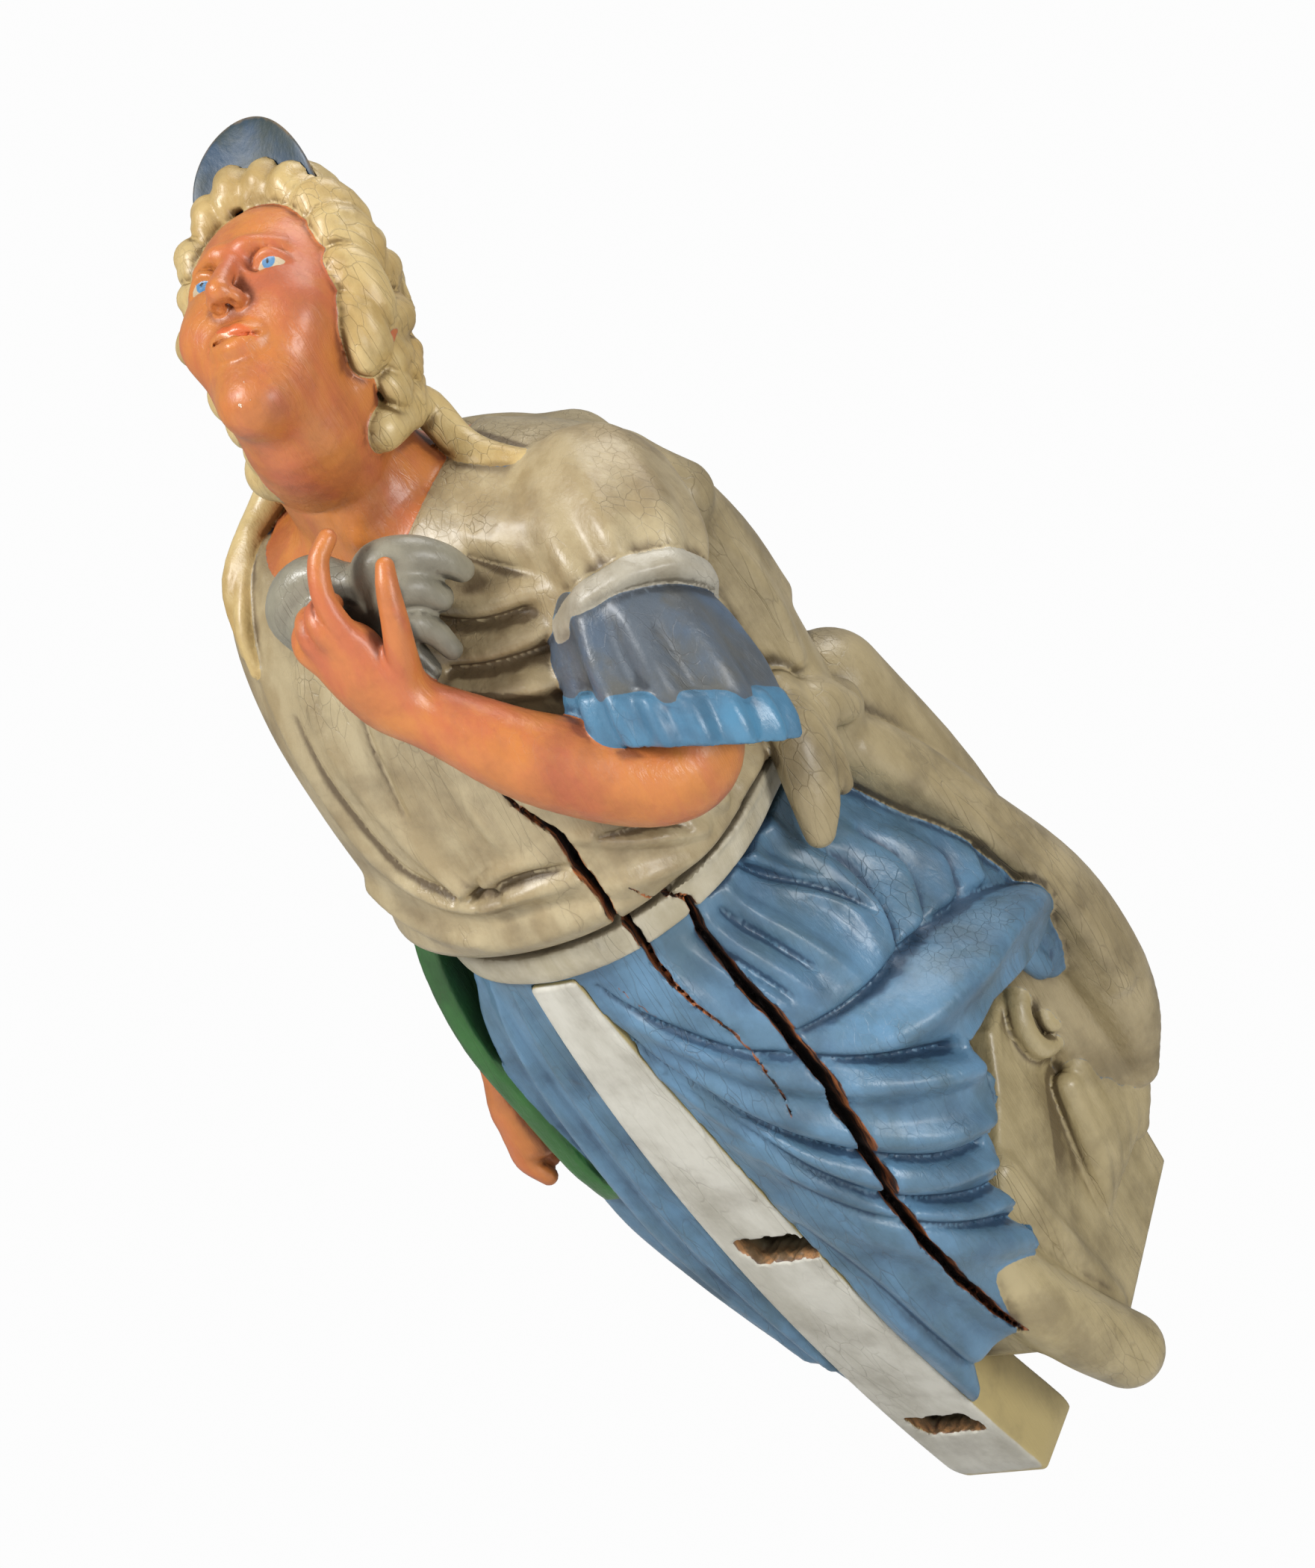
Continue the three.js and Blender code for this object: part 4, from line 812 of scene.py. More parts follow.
class Chest(Form):
    """Bare skin inside the neck opening."""

    def __init__(self) -> None:
        """Takes the box of the bare chest."""
        self.low, self.high = np.array([-300., -260., 240.]), np.array([300., 260., 560.])

    def field(self, p: Points) -> Values:
        """Signed distance in millimetres, below nought inside."""
        _, _, bare = LOFT.frame(p)
        collar = 5.0 * np.exp(-((p[:, 2] - 418 - 0.10 * np.abs(p[:, 0])) / 9.0) ** 2) * (np.abs(p[:,
                                                                                                  0]) > 12)
        d = (bare + 9.0 - collar * 0.6) * 0.9
        d = soft_max(d, np.hypot((p[:, 0] + 22.0) / 1.22, p[:, 2] - 500.0) - 120.0, 3.0)
        d = soft_max(d, p[:, 2] - 440.0, 30.0)
        return soft_max(d, 250.0 - p[:, 2], 4.0)


class Pleated(Form):
    """Sleeve of gathered cloth about a straight axis; rows of distance along, radius, pleat depth."""

    def __init__(self, start: Sequence[float], end: Sequence[float], profile: Rows, pleats: int,
                 squash: float = 0.95, phase: float = 0.0, twist: float = 0.0, hollow: float = 0.0,
                 slant: Sequence[float] = (0, 0, 0)) -> None:
        """Sets the axis, the section sizes and the pleats."""
        self.start = np.asarray(start, float)
        along = np.asarray(end, float) - self.start
        self.length = np.linalg.norm(along)
        self.along = along / self.length
        side = np.cross(self.along, [0, 0, 1.0])
        self.side = side / np.linalg.norm(side)
        self.up = np.cross(self.side, self.along)
        rows = smooth_path(profile, 10)
        order = np.argsort(rows[:, 0], kind="stable")
        self.rows = rows[order]
        self.first, self.last = float(rows[:, 0].min()), float(rows[:, 0].max())
        self.pleats, self.squash, self.phase, self.twist, self.hollow = pleats, squash, phase, twist, hollow
        self.slant = np.asarray(slant, float)
        reach = float(rows[:, 1].max()) + 12
        ends = np.stack([self.start + self.along * self.length * t for t in (self.first, self.last)])
        self.set_box(ends, reach)

    def field(self, p: Points) -> Values:
        """Signed distance in millimetres, below nought inside."""
        q = p - self.start
        t = q @ self.along / self.length + q @ self.slant
        x = q @ self.side
        y = (q @ self.up) / self.squash
        r = np.hypot(x, y)
        angle = np.arctan2(y, x)
        radius = np.interp(t, self.rows[:, 0], self.rows[:, 1])
        depth = np.interp(t, self.rows[:, 0], self.rows[:, 2])
        wave = np.cos(angle * self.pleats + self.phase + self.twist * t + 0.5 * np.sin(angle * 3 + 1.3))
        d = r - radius - depth * wave
        ends = np.maximum(self.first - t, t - self.last) * self.length
        d = soft_max(d * 0.92, ends, 6.0)
        if self.hollow:
            inner = np.maximum(r - radius + 9.0 - depth * wave, (self.last - t) * self.length - self.hollow)
            d = soft_max(d, -inner, 3.0)
        return d


SHOULDER = [190, -14, 360]
BAND = [240, 72, 296]
CUFF = [254, 112, 206]
SLANT = (-0.003, 0.0012, 0.0017)
ELBOW = [250, 138, 160]
WRIST = [62, 220, 338]


def arm_forms() -> "list[Form]":
    """Her left arm from shoulder to wrist."""
    return [
        Limb([[*BAND, 46], [258, 112, 200, 48], [*ELBOW, 50], [214, 168, 174, 49], [150, 200, 234, 43],
              [98, 212, 294, 34], [*WRIST, 28]], 6),
        Limb([[*WRIST, 27], [52, 228, 366, 29]], 3, flat=0.8),
    ]


HAND_SHIFT = np.array([8.0, -6.0, -14.0])


def hand_forms() -> "list[Form]":
    """Her left hand, raised to the breast, with its fingers."""
    made = [
        Limb([[58, 226, 356, 27], [48, 229, 392, 30], [42, 226, 416, 29]], 4, flat=0.78),
        Limb([[34, 228, 362, 24], [24, 229, 396, 26], [14, 224, 424, 24]], 4, flat=0.78),
        Limb([[56, 226, 410, 13], [50, 232, 446, 12], [46, 226, 478, 11], [50, 210, 506, 10],
              [60, 194, 518, 9]], 5),
        Limb([[74, 222, 372, 17], [88, 226, 402, 15], [98, 222, 432, 13], [102, 210, 462, 11],
              [103, 198, 478, 9]], 5),
        Limb([[40, 228, 420, 13], [33, 236, 446, 13], [28, 224, 462, 12], [32, 204, 456, 10]], 5),
        Limb([[22, 226, 416, 13], [14, 233, 440, 13], [10, 220, 454, 12], [14, 200, 448, 10]], 5),
        Limb([[6, 222, 404, 12], [-4, 228, 426, 12], [-8, 214, 438, 11], [-4, 196, 434, 9]], 5),
    ]
    for limb in made:
        limb.points = limb.points + HAND_SHIFT
        limb.low, limb.high = limb.low + HAND_SHIFT, limb.high + HAND_SHIFT
    return made


def sleeve_forms() -> "dict[str, list[Form]]":
    """The puffed sleeve, its band, cuff and hem."""
    return {
        "puff": [
            Pleated(SHOULDER, BAND, [[-0.6, 20, 0], [-0.45, 56, 1], [-0.15, 78, 1], [0.2, 86, 2],
                                     [0.55, 86, 4], [0.8, 80, 5], [1.02, 68, 3]], 9, 0.97, twist=0.6),
            Limb([[110, 40, 398, 24], [150, 50, 388, 32], [196, 52, 356, 36]], 4),
        ],
        "band": [Pleated(SHOULDER, BAND, [[0.95, 74, 0], [0.98, 78, 1], [1.12, 79, 1], [1.17, 74, 0]], 9,
                         0.97)],
        "cuff": [Pleated(BAND, CUFF, [[-0.2, 56, 0], [-0.08, 68, 1], [0.08, 76, 3], [0.25, 80, 5],
                                      [0.5, 85, 7], [0.8, 88, 6]],
                         9, 0.95, twist=0.8, slant=SLANT)],
        "hem": [Pleated(BAND, CUFF, [[0.72, 88, 3], [0.8, 93, 4], [1.0, 95, 5], [1.18, 91, 5]], 16, 0.95,
                        twist=0.4, hollow=20, slant=SLANT)],
    }


def right_side_forms() -> "dict[str, list[Form]]":
    """Her right sleeve, arm and hand, plainer as they are hardly seen."""
    return {
        "sleeve": [Pleated([-164, -20, 356], [-186, -16, 236],
                           [[-0.45, 30, 0], [-0.25, 58, 1], [0.1, 70, 2], [0.5, 72, 4], [1.0, 58, 3]], 8,
                           0.92)],
        "cuff": [Pleated([-186, -16, 236], [-190, 14, 140], [[0, 56, 1], [0.4, 64, 3], [1.05, 74, 5]], 9,
                         0.92, hollow=16)],
        "arm": [
            Limb([[-190, 0, 200, 40], [-194, 10, 120, 40], [-196, 24, 60, 39], [-202, 36, -40, 35],
                  [-208, 56, -150, 30], [-212, 72, -220, 27]], 5),
            Limb([[-212, 74, -214, 27], [-216, 86, -258, 34], [-212, 90, -292, 30]], 4, flat=0.8,
                 thin=(1, 0, 0)),
        ] + [Limb([[-222, 110 - 20 * k, -280 + 5 * k, 12], [-226, 112 - 20 * k, -312 + 7 * k, 11],
                   [-214, 108 - 19 * k, -340 + 9 * k, 10]], 4) for k in range(4)],
    }


class Leaf(Form):
    """Palm leaf with ribs along its length."""
    RIBS = 5

    def __init__(self) -> None:
        """Smooths the rib of the leaf."""
        rows = smooth_path([[-178, 84, 38, 14], [-190, 92, -40, 32], [-194, 92, -140, 42],
                            [-184, 90, -250, 38], [-172, 98, -330, 26], [-160, 106, -380, 8]], 8)
        self.rows = rows[np.argsort(rows[:, 2])]
        self.set_box(self.rows[:, :3], 50)

    def field(self, p: Points) -> Values:
        """Signed distance in millimetres, below nought inside."""
        u = p[:, 2]
        l0, f0, half = (np.interp(u, self.rows[:, 2], self.rows[:, k]) for k in (0, 1, 3))
        across = (p[:, 1] - f0) / half
        crown = 13.0 * (1.0 - np.clip(across, -1, 1) ** 2) ** 0.5
        ribs = 3.2 * np.abs(np.sin(across * math.pi * self.RIBS * 0.5)) ** 0.7
        d = (l0 + 8.0 - crown - ribs) - p[:, 0]
        body = np.maximum(d, p[:, 0] - l0 - 26.0)
        edge = (np.abs(across) - 1.0) * half
        ends = np.maximum(u - self.rows[-1, 2], self.rows[0, 2] - u)
        return soft_max(soft_max(body, edge, 4.0), ends, 4.0) * 0.8


def ruffle_forms() -> "list[Form]":
    """The gathered cloth held in her hand."""
    return [
        Limb([[-34, 172, 392, 16], [-34, 176, 426, 20], [-16, 170, 448, 22], [10, 164, 456, 20],
              [34, 164, 444, 18]], 5),
        Limb([[-20, 186, 390, 15], [-8, 188, 416, 18], [10, 178, 434, 17]], 5),
        Limb([[56, 166, 432, 19], [78, 160, 450, 21], [104, 146, 442, 20], [122, 132, 422, 16],
              [128, 122, 402, 12]], 5),
        Limb([[64, 176, 404, 18], [84, 172, 424, 20], [102, 162, 418, 18], [112, 152, 396, 14]], 5),
        Limb([[72, 184, 376, 15], [90, 180, 392, 17], [102, 172, 374, 13], [108, 170, 350, 10]], 4),
        Limb([[56, 176, 408, 16], [68, 178, 372, 16], [84, 184, 342, 11]], 4),
        Limb([[28, 168, 432, 17], [44, 164, 438, 17], [62, 162, 430, 16]], 4),
        Limb([[-4, 168, 400, 26], [40, 164, 404, 28], [80, 156, 396, 26]], 3),
    ]


def head_forms() -> "tuple[list[Form], ...]":
    """Skull, features, socket cuts, eyes, lids and ears."""
    skin = [
        head_egg((0, -14, 22), (77, 98, 88)), head_egg((0, 26, 6), (64, 62, 82)),
        head_egg((0, 28, -50), (49, 54, 56)),
        head_egg((0, 54, -86), (26, 24, 22)), head_egg((34, 54, -22), (30, 28, 28)),
        head_egg((-34, 54, -22), (30, 28, 28)),
    ]
    detail = [
        head_limb([(-36, 75, 24, 7), (-14, 88, 25, 8), (0, 87, 24, 7), (14, 88, 25, 8), (36, 75, 24, 7)]),
        head_limb([(0, 84, 26, 6), (0, 92, 10, 7), (0, 101, -8, 8.5), (0, 105, -18, 9)]),
        head_egg((0, 105, -19), (9.5, 9.5, 8)), head_egg((9, 95, -22), (7, 9, 7)),
        head_egg((-9, 95, -22), (7, 9, 7)),
        head_egg((0, 80, -48), (24, 11, 14)),
        head_limb([(-22, 78, -48, 3), (-8, 87, -44, 5), (0, 87, -45.5, 4.2), (8, 87, -44, 5),
                   (22, 78, -48, 3)]),
        head_limb([(-18, 78, -53, 3.5), (0, 85.5, -56, 6.5), (18, 78, -53, 3.5)]),
    ]
    cuts = [
        head_egg((31, 86, 10), (19, 11, 11)), head_egg((-31, 86, 10), (19, 11, 11)),
        head_limb([(-23, 82, -49, 1.6), (0, 92, -50.2, 1.8), (23, 82, -49, 1.6)]),
        head_egg((7, 97, -28), (3.6, 6, 4)), head_egg((-7, 97, -28), (3.6, 6, 4)),
    ]
    eyes = [head_egg((30, 69, 9), (15, 14.5, 14)), head_egg((-30, 69, 9), (15, 14.5, 14))]
    lids = []
    for s in (1, -1):
        lids.append(head_limb([(s * 15, 76, 6, 2.6), (s * 22, 83, 13.5, 4.0), (s * 32, 83.5, 15.5, 4.2),
                               (s * 42, 77, 11, 3.6), (s * 47, 70, 6, 2.6)]))
        lids.append(head_limb([(s * 16, 76, 4, 2.2), (s * 25, 81, 0.5, 3.0), (s * 35, 80, 0.2, 3.0),
                               (s * 45, 72, 4, 2.4)]))
    ears = [head_limb([(76, 2, -36, 6), (81, -4, -30, 6), (83, -12, -12, 5), (82, -10, 4, 5),
                       (77, 2, 8, 4)]),
            head_egg((75, -2, -18), (6, 12, 20))]
    return skin, detail, cuts, eyes, lids, ears


class Scalp(Form):
    """Waved cap of hair: an egg with ridges that run back over the head."""

    def __init__(self, centre: Sequence[float], sizes: Sequence[float], waves: float, depth: float) -> None:
        """Sets the cap of hair and its combed waves."""
        self.egg = head_egg(centre, sizes)
        self.waves, self.depth = waves, depth
        self.low, self.high = self.egg.low, self.egg.high

    def field(self, p: Points) -> Values:
        """Signed distance in millimetres, below nought inside."""
        q = (p - HEAD_AT) @ HEAD_AXES / HEAD_SCALE
        around = np.arctan2(q[:, 0], q[:, 2] + 10.0)
        back = -q[:, 1] / 26.0
        ridge = np.sin(around * self.waves + 1.3 * np.sin(back * 2.2))
        return self.egg.field(p) - self.depth * (1.0 - np.abs(ridge) ** 0.8 * 1.6)


def hair_forms() -> "tuple[list[Form], ...]":
    """The cap of hair and the roll of curls."""
    rng = np.random.default_rng(7)
    cap = [Scalp((0, -26, 32), (78, 90, 84), 11, 3.0), Scalp((0, -56, -30), (64, 58, 70), 8, 3.0)]
    curls = []
    CLUMPS = 11
    for k in range(CLUMPS):
        t = k / (CLUMPS - 1)
        a = math.radians(-98 + 200 * t)
        lift = -24 * (1 - math.cos(a)) + rng.uniform(-2, 2)
        grow = rng.uniform(0.9, 1.12)
        puff = 7.0 * math.exp(-((math.degrees(a) + 28.0) / 24.0) ** 2) - 7.0 * (a < -1.05)
        turn = 0.10 if k % 2 else -0.04
        for strand, (side, size, push) in enumerate(((-0.10, 12.0, 0.0), (0.02, 14.5, 3.5),
                                                     (0.14, 11.5, 0.5))):
            path = []
            for step, (rad, back, bend, thick) in enumerate(((60, 56, 0.00, 0.62), (68, 60, 0.03, 0.95),
                                                             (77, 50, 0.10, 1.1), (79, 32, 0.19, 1.15),
                                                            (73, 16, 0.22, 1.05), (76, -4, 0.15, 1.05),
                                                            (68, -24, 0.08, 0.7))):
                aa = a + side + bend * (1.0 + turn * 3) + 0.03 * math.sin(step * 1.9 + strand)
                tall = 1.24 if step < 4 else 1.16
                path.append([*in_head((rad + push + puff) * math.sin(aa), lift + back + push * 0.5,
                                      8 + (rad + push + puff) * tall * math.cos(aa)),
                                      size * thick * grow * HEAD_SCALE])
            curls.append(Limb(path, 2))
    for s in (1, -1):
        for k in range(2 if s > 0 else 4):
            z = -20 - 17 * k
            y = (-26 if s > 0 else -12) - 15 * k
            x = (74 if s > 0 else 66) - 7 * k
            for strand in (-1, 0, 1):
                dz = strand * 8
                curls.append(head_limb([(s * (x - 7), y + 22, z + 8 + dz, 6),
                                        (s * (x + 2), y + 14, z + dz, 9.5),
                                        (s * (x + 5 - abs(strand) * 2), y, z - 5 + dz, 10.5),
                                        (s * (x - 1), y - 14, z + dz, 10),
                                        (s * (x + 1), y - 28, z + 5 + dz, 10),
                                        (s * (x - 8), y - 44, z + dz, 7)]))
    return cap, curls


def neck_forms() -> "tuple[list[Form], ...]":
    """The neck and the locks that fall on it."""
    skin = [
        Limb([[-2, 0, 392, 84], [-6, 16, 448, 74], [-10, 22, 496, 68], [*in_head(0, -14, -66), 60],
              [*in_head(0, -8, -30), 56]], 6),
        Limb([[16, 86, 440, 12], [40, 54, 500, 16], [*in_head(48, -16, -50), 18]], 5),
    ]
    locks = [
        Limb([[*in_head(52, -48, -70), 22], [66, -30, 498, 19], [90, -22, 452, 17], [128, -12, 430, 15],
              [188, -8, 408, 11]], 5),
        Limb([[96, -8, 446, 10], [134, 2, 424, 10], [176, 4, 404, 8]], 5),
        Limb([[*in_head(-58, -66, -60), 30], [-84, -44, 490, 26], [-136, -10, 452, 17], [-170, 60, 412, 12],
              [-170, 96, 352, 10]], 5),
        Limb([[-150, 20, 440, 11], [-160, 92, 384, 9], [-158, 116, 340, 8]], 5),
    ]
    return skin, locks


def mantle_forms() -> "list[Form]":
    """The mantle with its knot and swath."""
    return [
        Limb([[-150, -96, 366, 30], [-70, -106, 398, 26], [4, -116, 400, 25], [60, -132, 384, 25],
              [130, -112, 370, 26], [190, -86, 352, 30], [222, -96, 300, 36]], 5),
        Limb([[176, -96, 338, 42], [192, -114, 270, 48], [198, -128, 190, 46], [190, -138, 100, 44],
              [186, -144, 30, 44]], 5),
        Limb([[114, -128, 348, 48], [136, -140, 260, 52], [120, -150, 120, 60], [110, -150, 0, 68]], 4),
        Limb([[-110, -130, 350, 50], [-150, -170, 260, 60], [-150, -216, 100, 76], [-140, -244, -60, 84]],
             4),
        Limb([[218, -60, 300, 8], [234, -100, 230, 12], [236, -118, 150, 12], [226, -122, 80, 10]], 4),
        Limb([[200, -130, 300, 10], [216, -152, 220, 14], [218, -166, 130, 13]], 4),
        Egg((216, -114, 24), (36, 38, 32), (20, 0, 30)),
        Egg((206, -156, -14), (38, 36, 28), (-20, 0, 10)),
        Limb([[216, -94, 50, 14], [238, -108, 32, 16], [240, -134, 2, 17]], 4),
        Limb([[214, -82, 66, 24], [232, -50, 28, 31], [236, -22, -20, 26], [232, -6, -50, 17]], 5,
             flat=0.75, thin=(0.8, 0.6, 0)),
        Limb([[218, -98, 40, 18], [236, -78, 2, 18], [244, -60, -36, 12]], 4),
        Limb([[198, -144, -30, 34], [216, -182, -110, 38], [228, -230, -230, 44], [248, -268, -360, 50],
              [250, -288, -470, 48], [242, -296, -556, 40], [228, -288, -630, 24]], 6),
        Limb([[160, -240, -40, 60], [176, -270, -220, 62], [184, -276, -420, 62], [180, -276, -610, 50]],
             4),
        Limb([[226, -142, -60, 12], [248, -180, -150, 16], [270, -216, -270, 18], [284, -246, -390, 18],
              [280, -264, -490, 14]], 5),
        Limb([[240, -198, -120, 12], [264, -238, -240, 16], [280, -264, -360, 16], [280, -282, -460, 12]],
             5),
    ]


BASE_OUTLINE = [[-360, -420], [-250, -440], [-160, -452], [-120, -500], [-60, -540], [10, -600], [30, -650],
                [0, -760], [-60, -820], [-126, -836], [-330, -800], [-360, -790]]


def base_forms() -> "tuple[list[Form], ...]":
    """The scrolled base: panel, spiral, lobes, roll and ridge."""
    panel = [Slab(BASE_OUTLINE, -132, 176, 8.0)]
    spiral = []
    rows = []
    for k in range(22):
        a = math.radians(150 - 26 * k)
        rad = 62 * math.exp(-0.088 * k)
        rows.append([184 + k * 0.9, -232 + rad * math.cos(a), -500 + rad * math.sin(a), 15 - 0.3 * k])
    spiral.append(Limb(rows, 2))
    spiral.append(Egg((184, -232, -500), (22, 16, 16)))
    spiral.append(Egg((170, -232, -500), (22, 58, 58)))
    lobes = []
    for k in range(5):
        f = -300 + 24 * k
        lobes.append(Limb([[214 - 6 * k, f - 6, -548 - 8 * k, 16], [216 - 8 * k, f + 6, -610 - 12 * k, 20],
                           [206 - 8 * k, f + 18, -670 - 10 * k, 17],
                           [190 - 6 * k, f + 26, -704 - 8 * k, 10]], 4))
    lobes.append(Limb([[200, -300, -540, 40], [196, -290, -640, 36], [186, -280, -700, 24]], 4))
    roll = [Limb([[140, 20, -560, 22], [152, 8, -620, 34], [158, -8, -690, 42], [168, -42, -775, 43],
                  [176, -80, -848, 42]], 5)]
    ridge = [Limb([[168, -60, -560, 20], [172, -70, -640, 18], [172, -96, -740, 16], [172, -110, -800, 14]],
                  4)]
    return panel, spiral, lobes, roll, ridge


def timber_half(u: Values) -> Values:
    """Half width of the timber at a level."""
    t = np.clip(-50.0 - u, 0, None)
    return 27.0 + 32.0 * (1.0 - np.exp(-t / 300.0))


def timber_depth(u: Values) -> Values:
    """Depth of the timber at a level."""
    return np.interp(u, [-900, -500, -60], [98, 88, 62])


class Timber(Form):
    """Front timber; grow widens it to cut its own bed."""

    def __init__(self, grow: float = 0.0, lowest: float = TANG_U, proud: float = 3.0,
                 rounding: float = 3.0) -> None:
        """Sets how much the bar is grown and where it ends."""
        self.grow, self.lowest, self.proud, self.rounding = grow, lowest, proud, rounding
        self.low, self.high = np.array([-160., -260., lowest - 60]), np.array([140., 300., 20.])

    def field(self, p: Points) -> Values:
        """Signed distance in millimetres, below nought inside."""
        u = p[:, 2]
        tip = np.clip((u + 930.0) / -42.0, 0, 1)
        half = timber_half(u) + self.grow - 9.0 * tip ** 2
        front = front_line(u) + self.proud - 8.0 * tip ** 2
        back = front_line(u) - timber_depth(u) - self.grow
        side = np.abs(p[:, 0] - TIMBER_L) - half
        depth = np.maximum(p[:, 1] - front, back - p[:, 1]) * 0.96
        ends = np.maximum(self.lowest - self.grow - u, u + 48.0 - self.grow)
        r = self.rounding
        d = soft_max(soft_max(side, depth, r * 2), ends, r * 2)
        return d


class BoltHole(Form):
    """Ragged pocket cut square to the timber's front."""

    def __init__(self, u: float, seed: float, aside: float = 12.0) -> None:
        """Sets the level, the raggedness and the shift of the pocket."""
        self.u = u
        self.seed = seed
        slope = float(front_line(u + 5) - front_line(u - 5)) / 10.0
        self.normal = np.array([0, 1.0, -slope]) / math.hypot(1, slope)
        self.tangent = np.array([0, slope, 1.0]) / math.hypot(1, slope)
        self.centre = np.array([TIMBER_L + aside, float(front_line(u)) + 3.0, u])
        self.set_box(self.centre[None], 80)

    def field(self, p: Points) -> Values:
        """Signed distance in millimetres, below nought inside."""
        q = p - self.centre
        x, y, z = q[:, 0], q @ self.tangent, q @ self.normal
        s = self.seed
        rag = 1.6 * np.sin(0.21 * x + s) + 1.2 * np.sin(0.37 * z + 2 * s)
        rag = rag + 0.9 * np.sin(0.5 * x + 0.4 * z + s)
        rag2 = 1.5 * np.sin(0.25 * y + s) + 1.2 * np.sin(0.33 * z + s * 1.7)
        d = soft_max(np.abs(x + 0.25 * y) - 40.0 - rag2, np.abs(y) - 22.0 - rag, 9.0)
        return soft_max(d, -58.0 - z, 8.0)


# drying cracks: angle, height, half width, depth
CRACKS = [
    [[20, 204, 1, 8], [24, 172, 4, 22], [29, 132, 6, 30], [30, 92, 8, 34], [31, 50, 6, 32],
     [31, 0, 6.5, 34], [31, -50, 5, 30], [30, -100, 3, 20], [31, -150, 1.6, 12], [30, -205, 1.2, 9],
     [28, -250, 0.9, 6], [26, -278, 0.5, 3]],
    [[38, 52, 0.7, 5], [42, 18, 2, 12], [47, -4, 4, 18], [48, -30, 6, 26], [46, -75, 7, 30],
     [44, -105, 8, 34], [42, -150, 9, 38], [40, -200, 9, 40], [37, -260, 9, 42], [35, -305, 9, 42],
     [34, -350, 8, 40], [34, -402, 8, 40], [36, -445, 8, 38], [38, -500, 7, 36], [40, -550, 7.5, 34],
     [42, -600, 7, 30], [45, -650, 6, 24], [49, -700, 3, 14]],
    [[16, -70, 0.5, 3], [18, -110, 0.8, 5], [20, -135, 0.5, 3]],
]


class Crack(Form):
    """A long split that follows the grain across the carved surface."""

    def __init__(self, path: Rows) -> None:
        """Smooths the line of the split."""
        rows = smooth_path(path, 4)
        order = np.argsort(rows[:, 1])
        self.rows = rows[order]
        self.low = np.array([-60., -100., self.rows[0, 1] - 20])
        self.high = np.array([330., 300., self.rows[-1, 1] + 20])

    def field(self, p: Points) -> Values:
        """Signed distance in millimetres, below nought inside."""
        angle, r, bare = LOFT.frame(p)
        u = p[:, 2]
        a, half, depth = (np.interp(u, self.rows[:, 1], self.rows[:, k]) for k in (0, 2, 3))
        rag = 0.9 * np.sin(u * 0.083) + 0.5 * np.sin(u * 0.21 + 1.0) + 0.25 * np.sin(u * 0.57)
        side = np.abs((angle - a) * math.pi / 180.0 * r + rag * np.minimum(half / 4.0, 1.0))
        inward = np.clip(-bare / np.maximum(depth, 1), 0, 1)
        wide = 0.78 * half * (1.0 - 0.75 * inward)
        d = np.maximum(side - wide, -(bare + depth))
        ends = np.maximum(u - self.rows[-1, 1], self.rows[0, 1] - u)
        return np.maximum(d, ends)


UPPER_HOLE_U = -474.0
LOWER_HOLE_U = -836.0


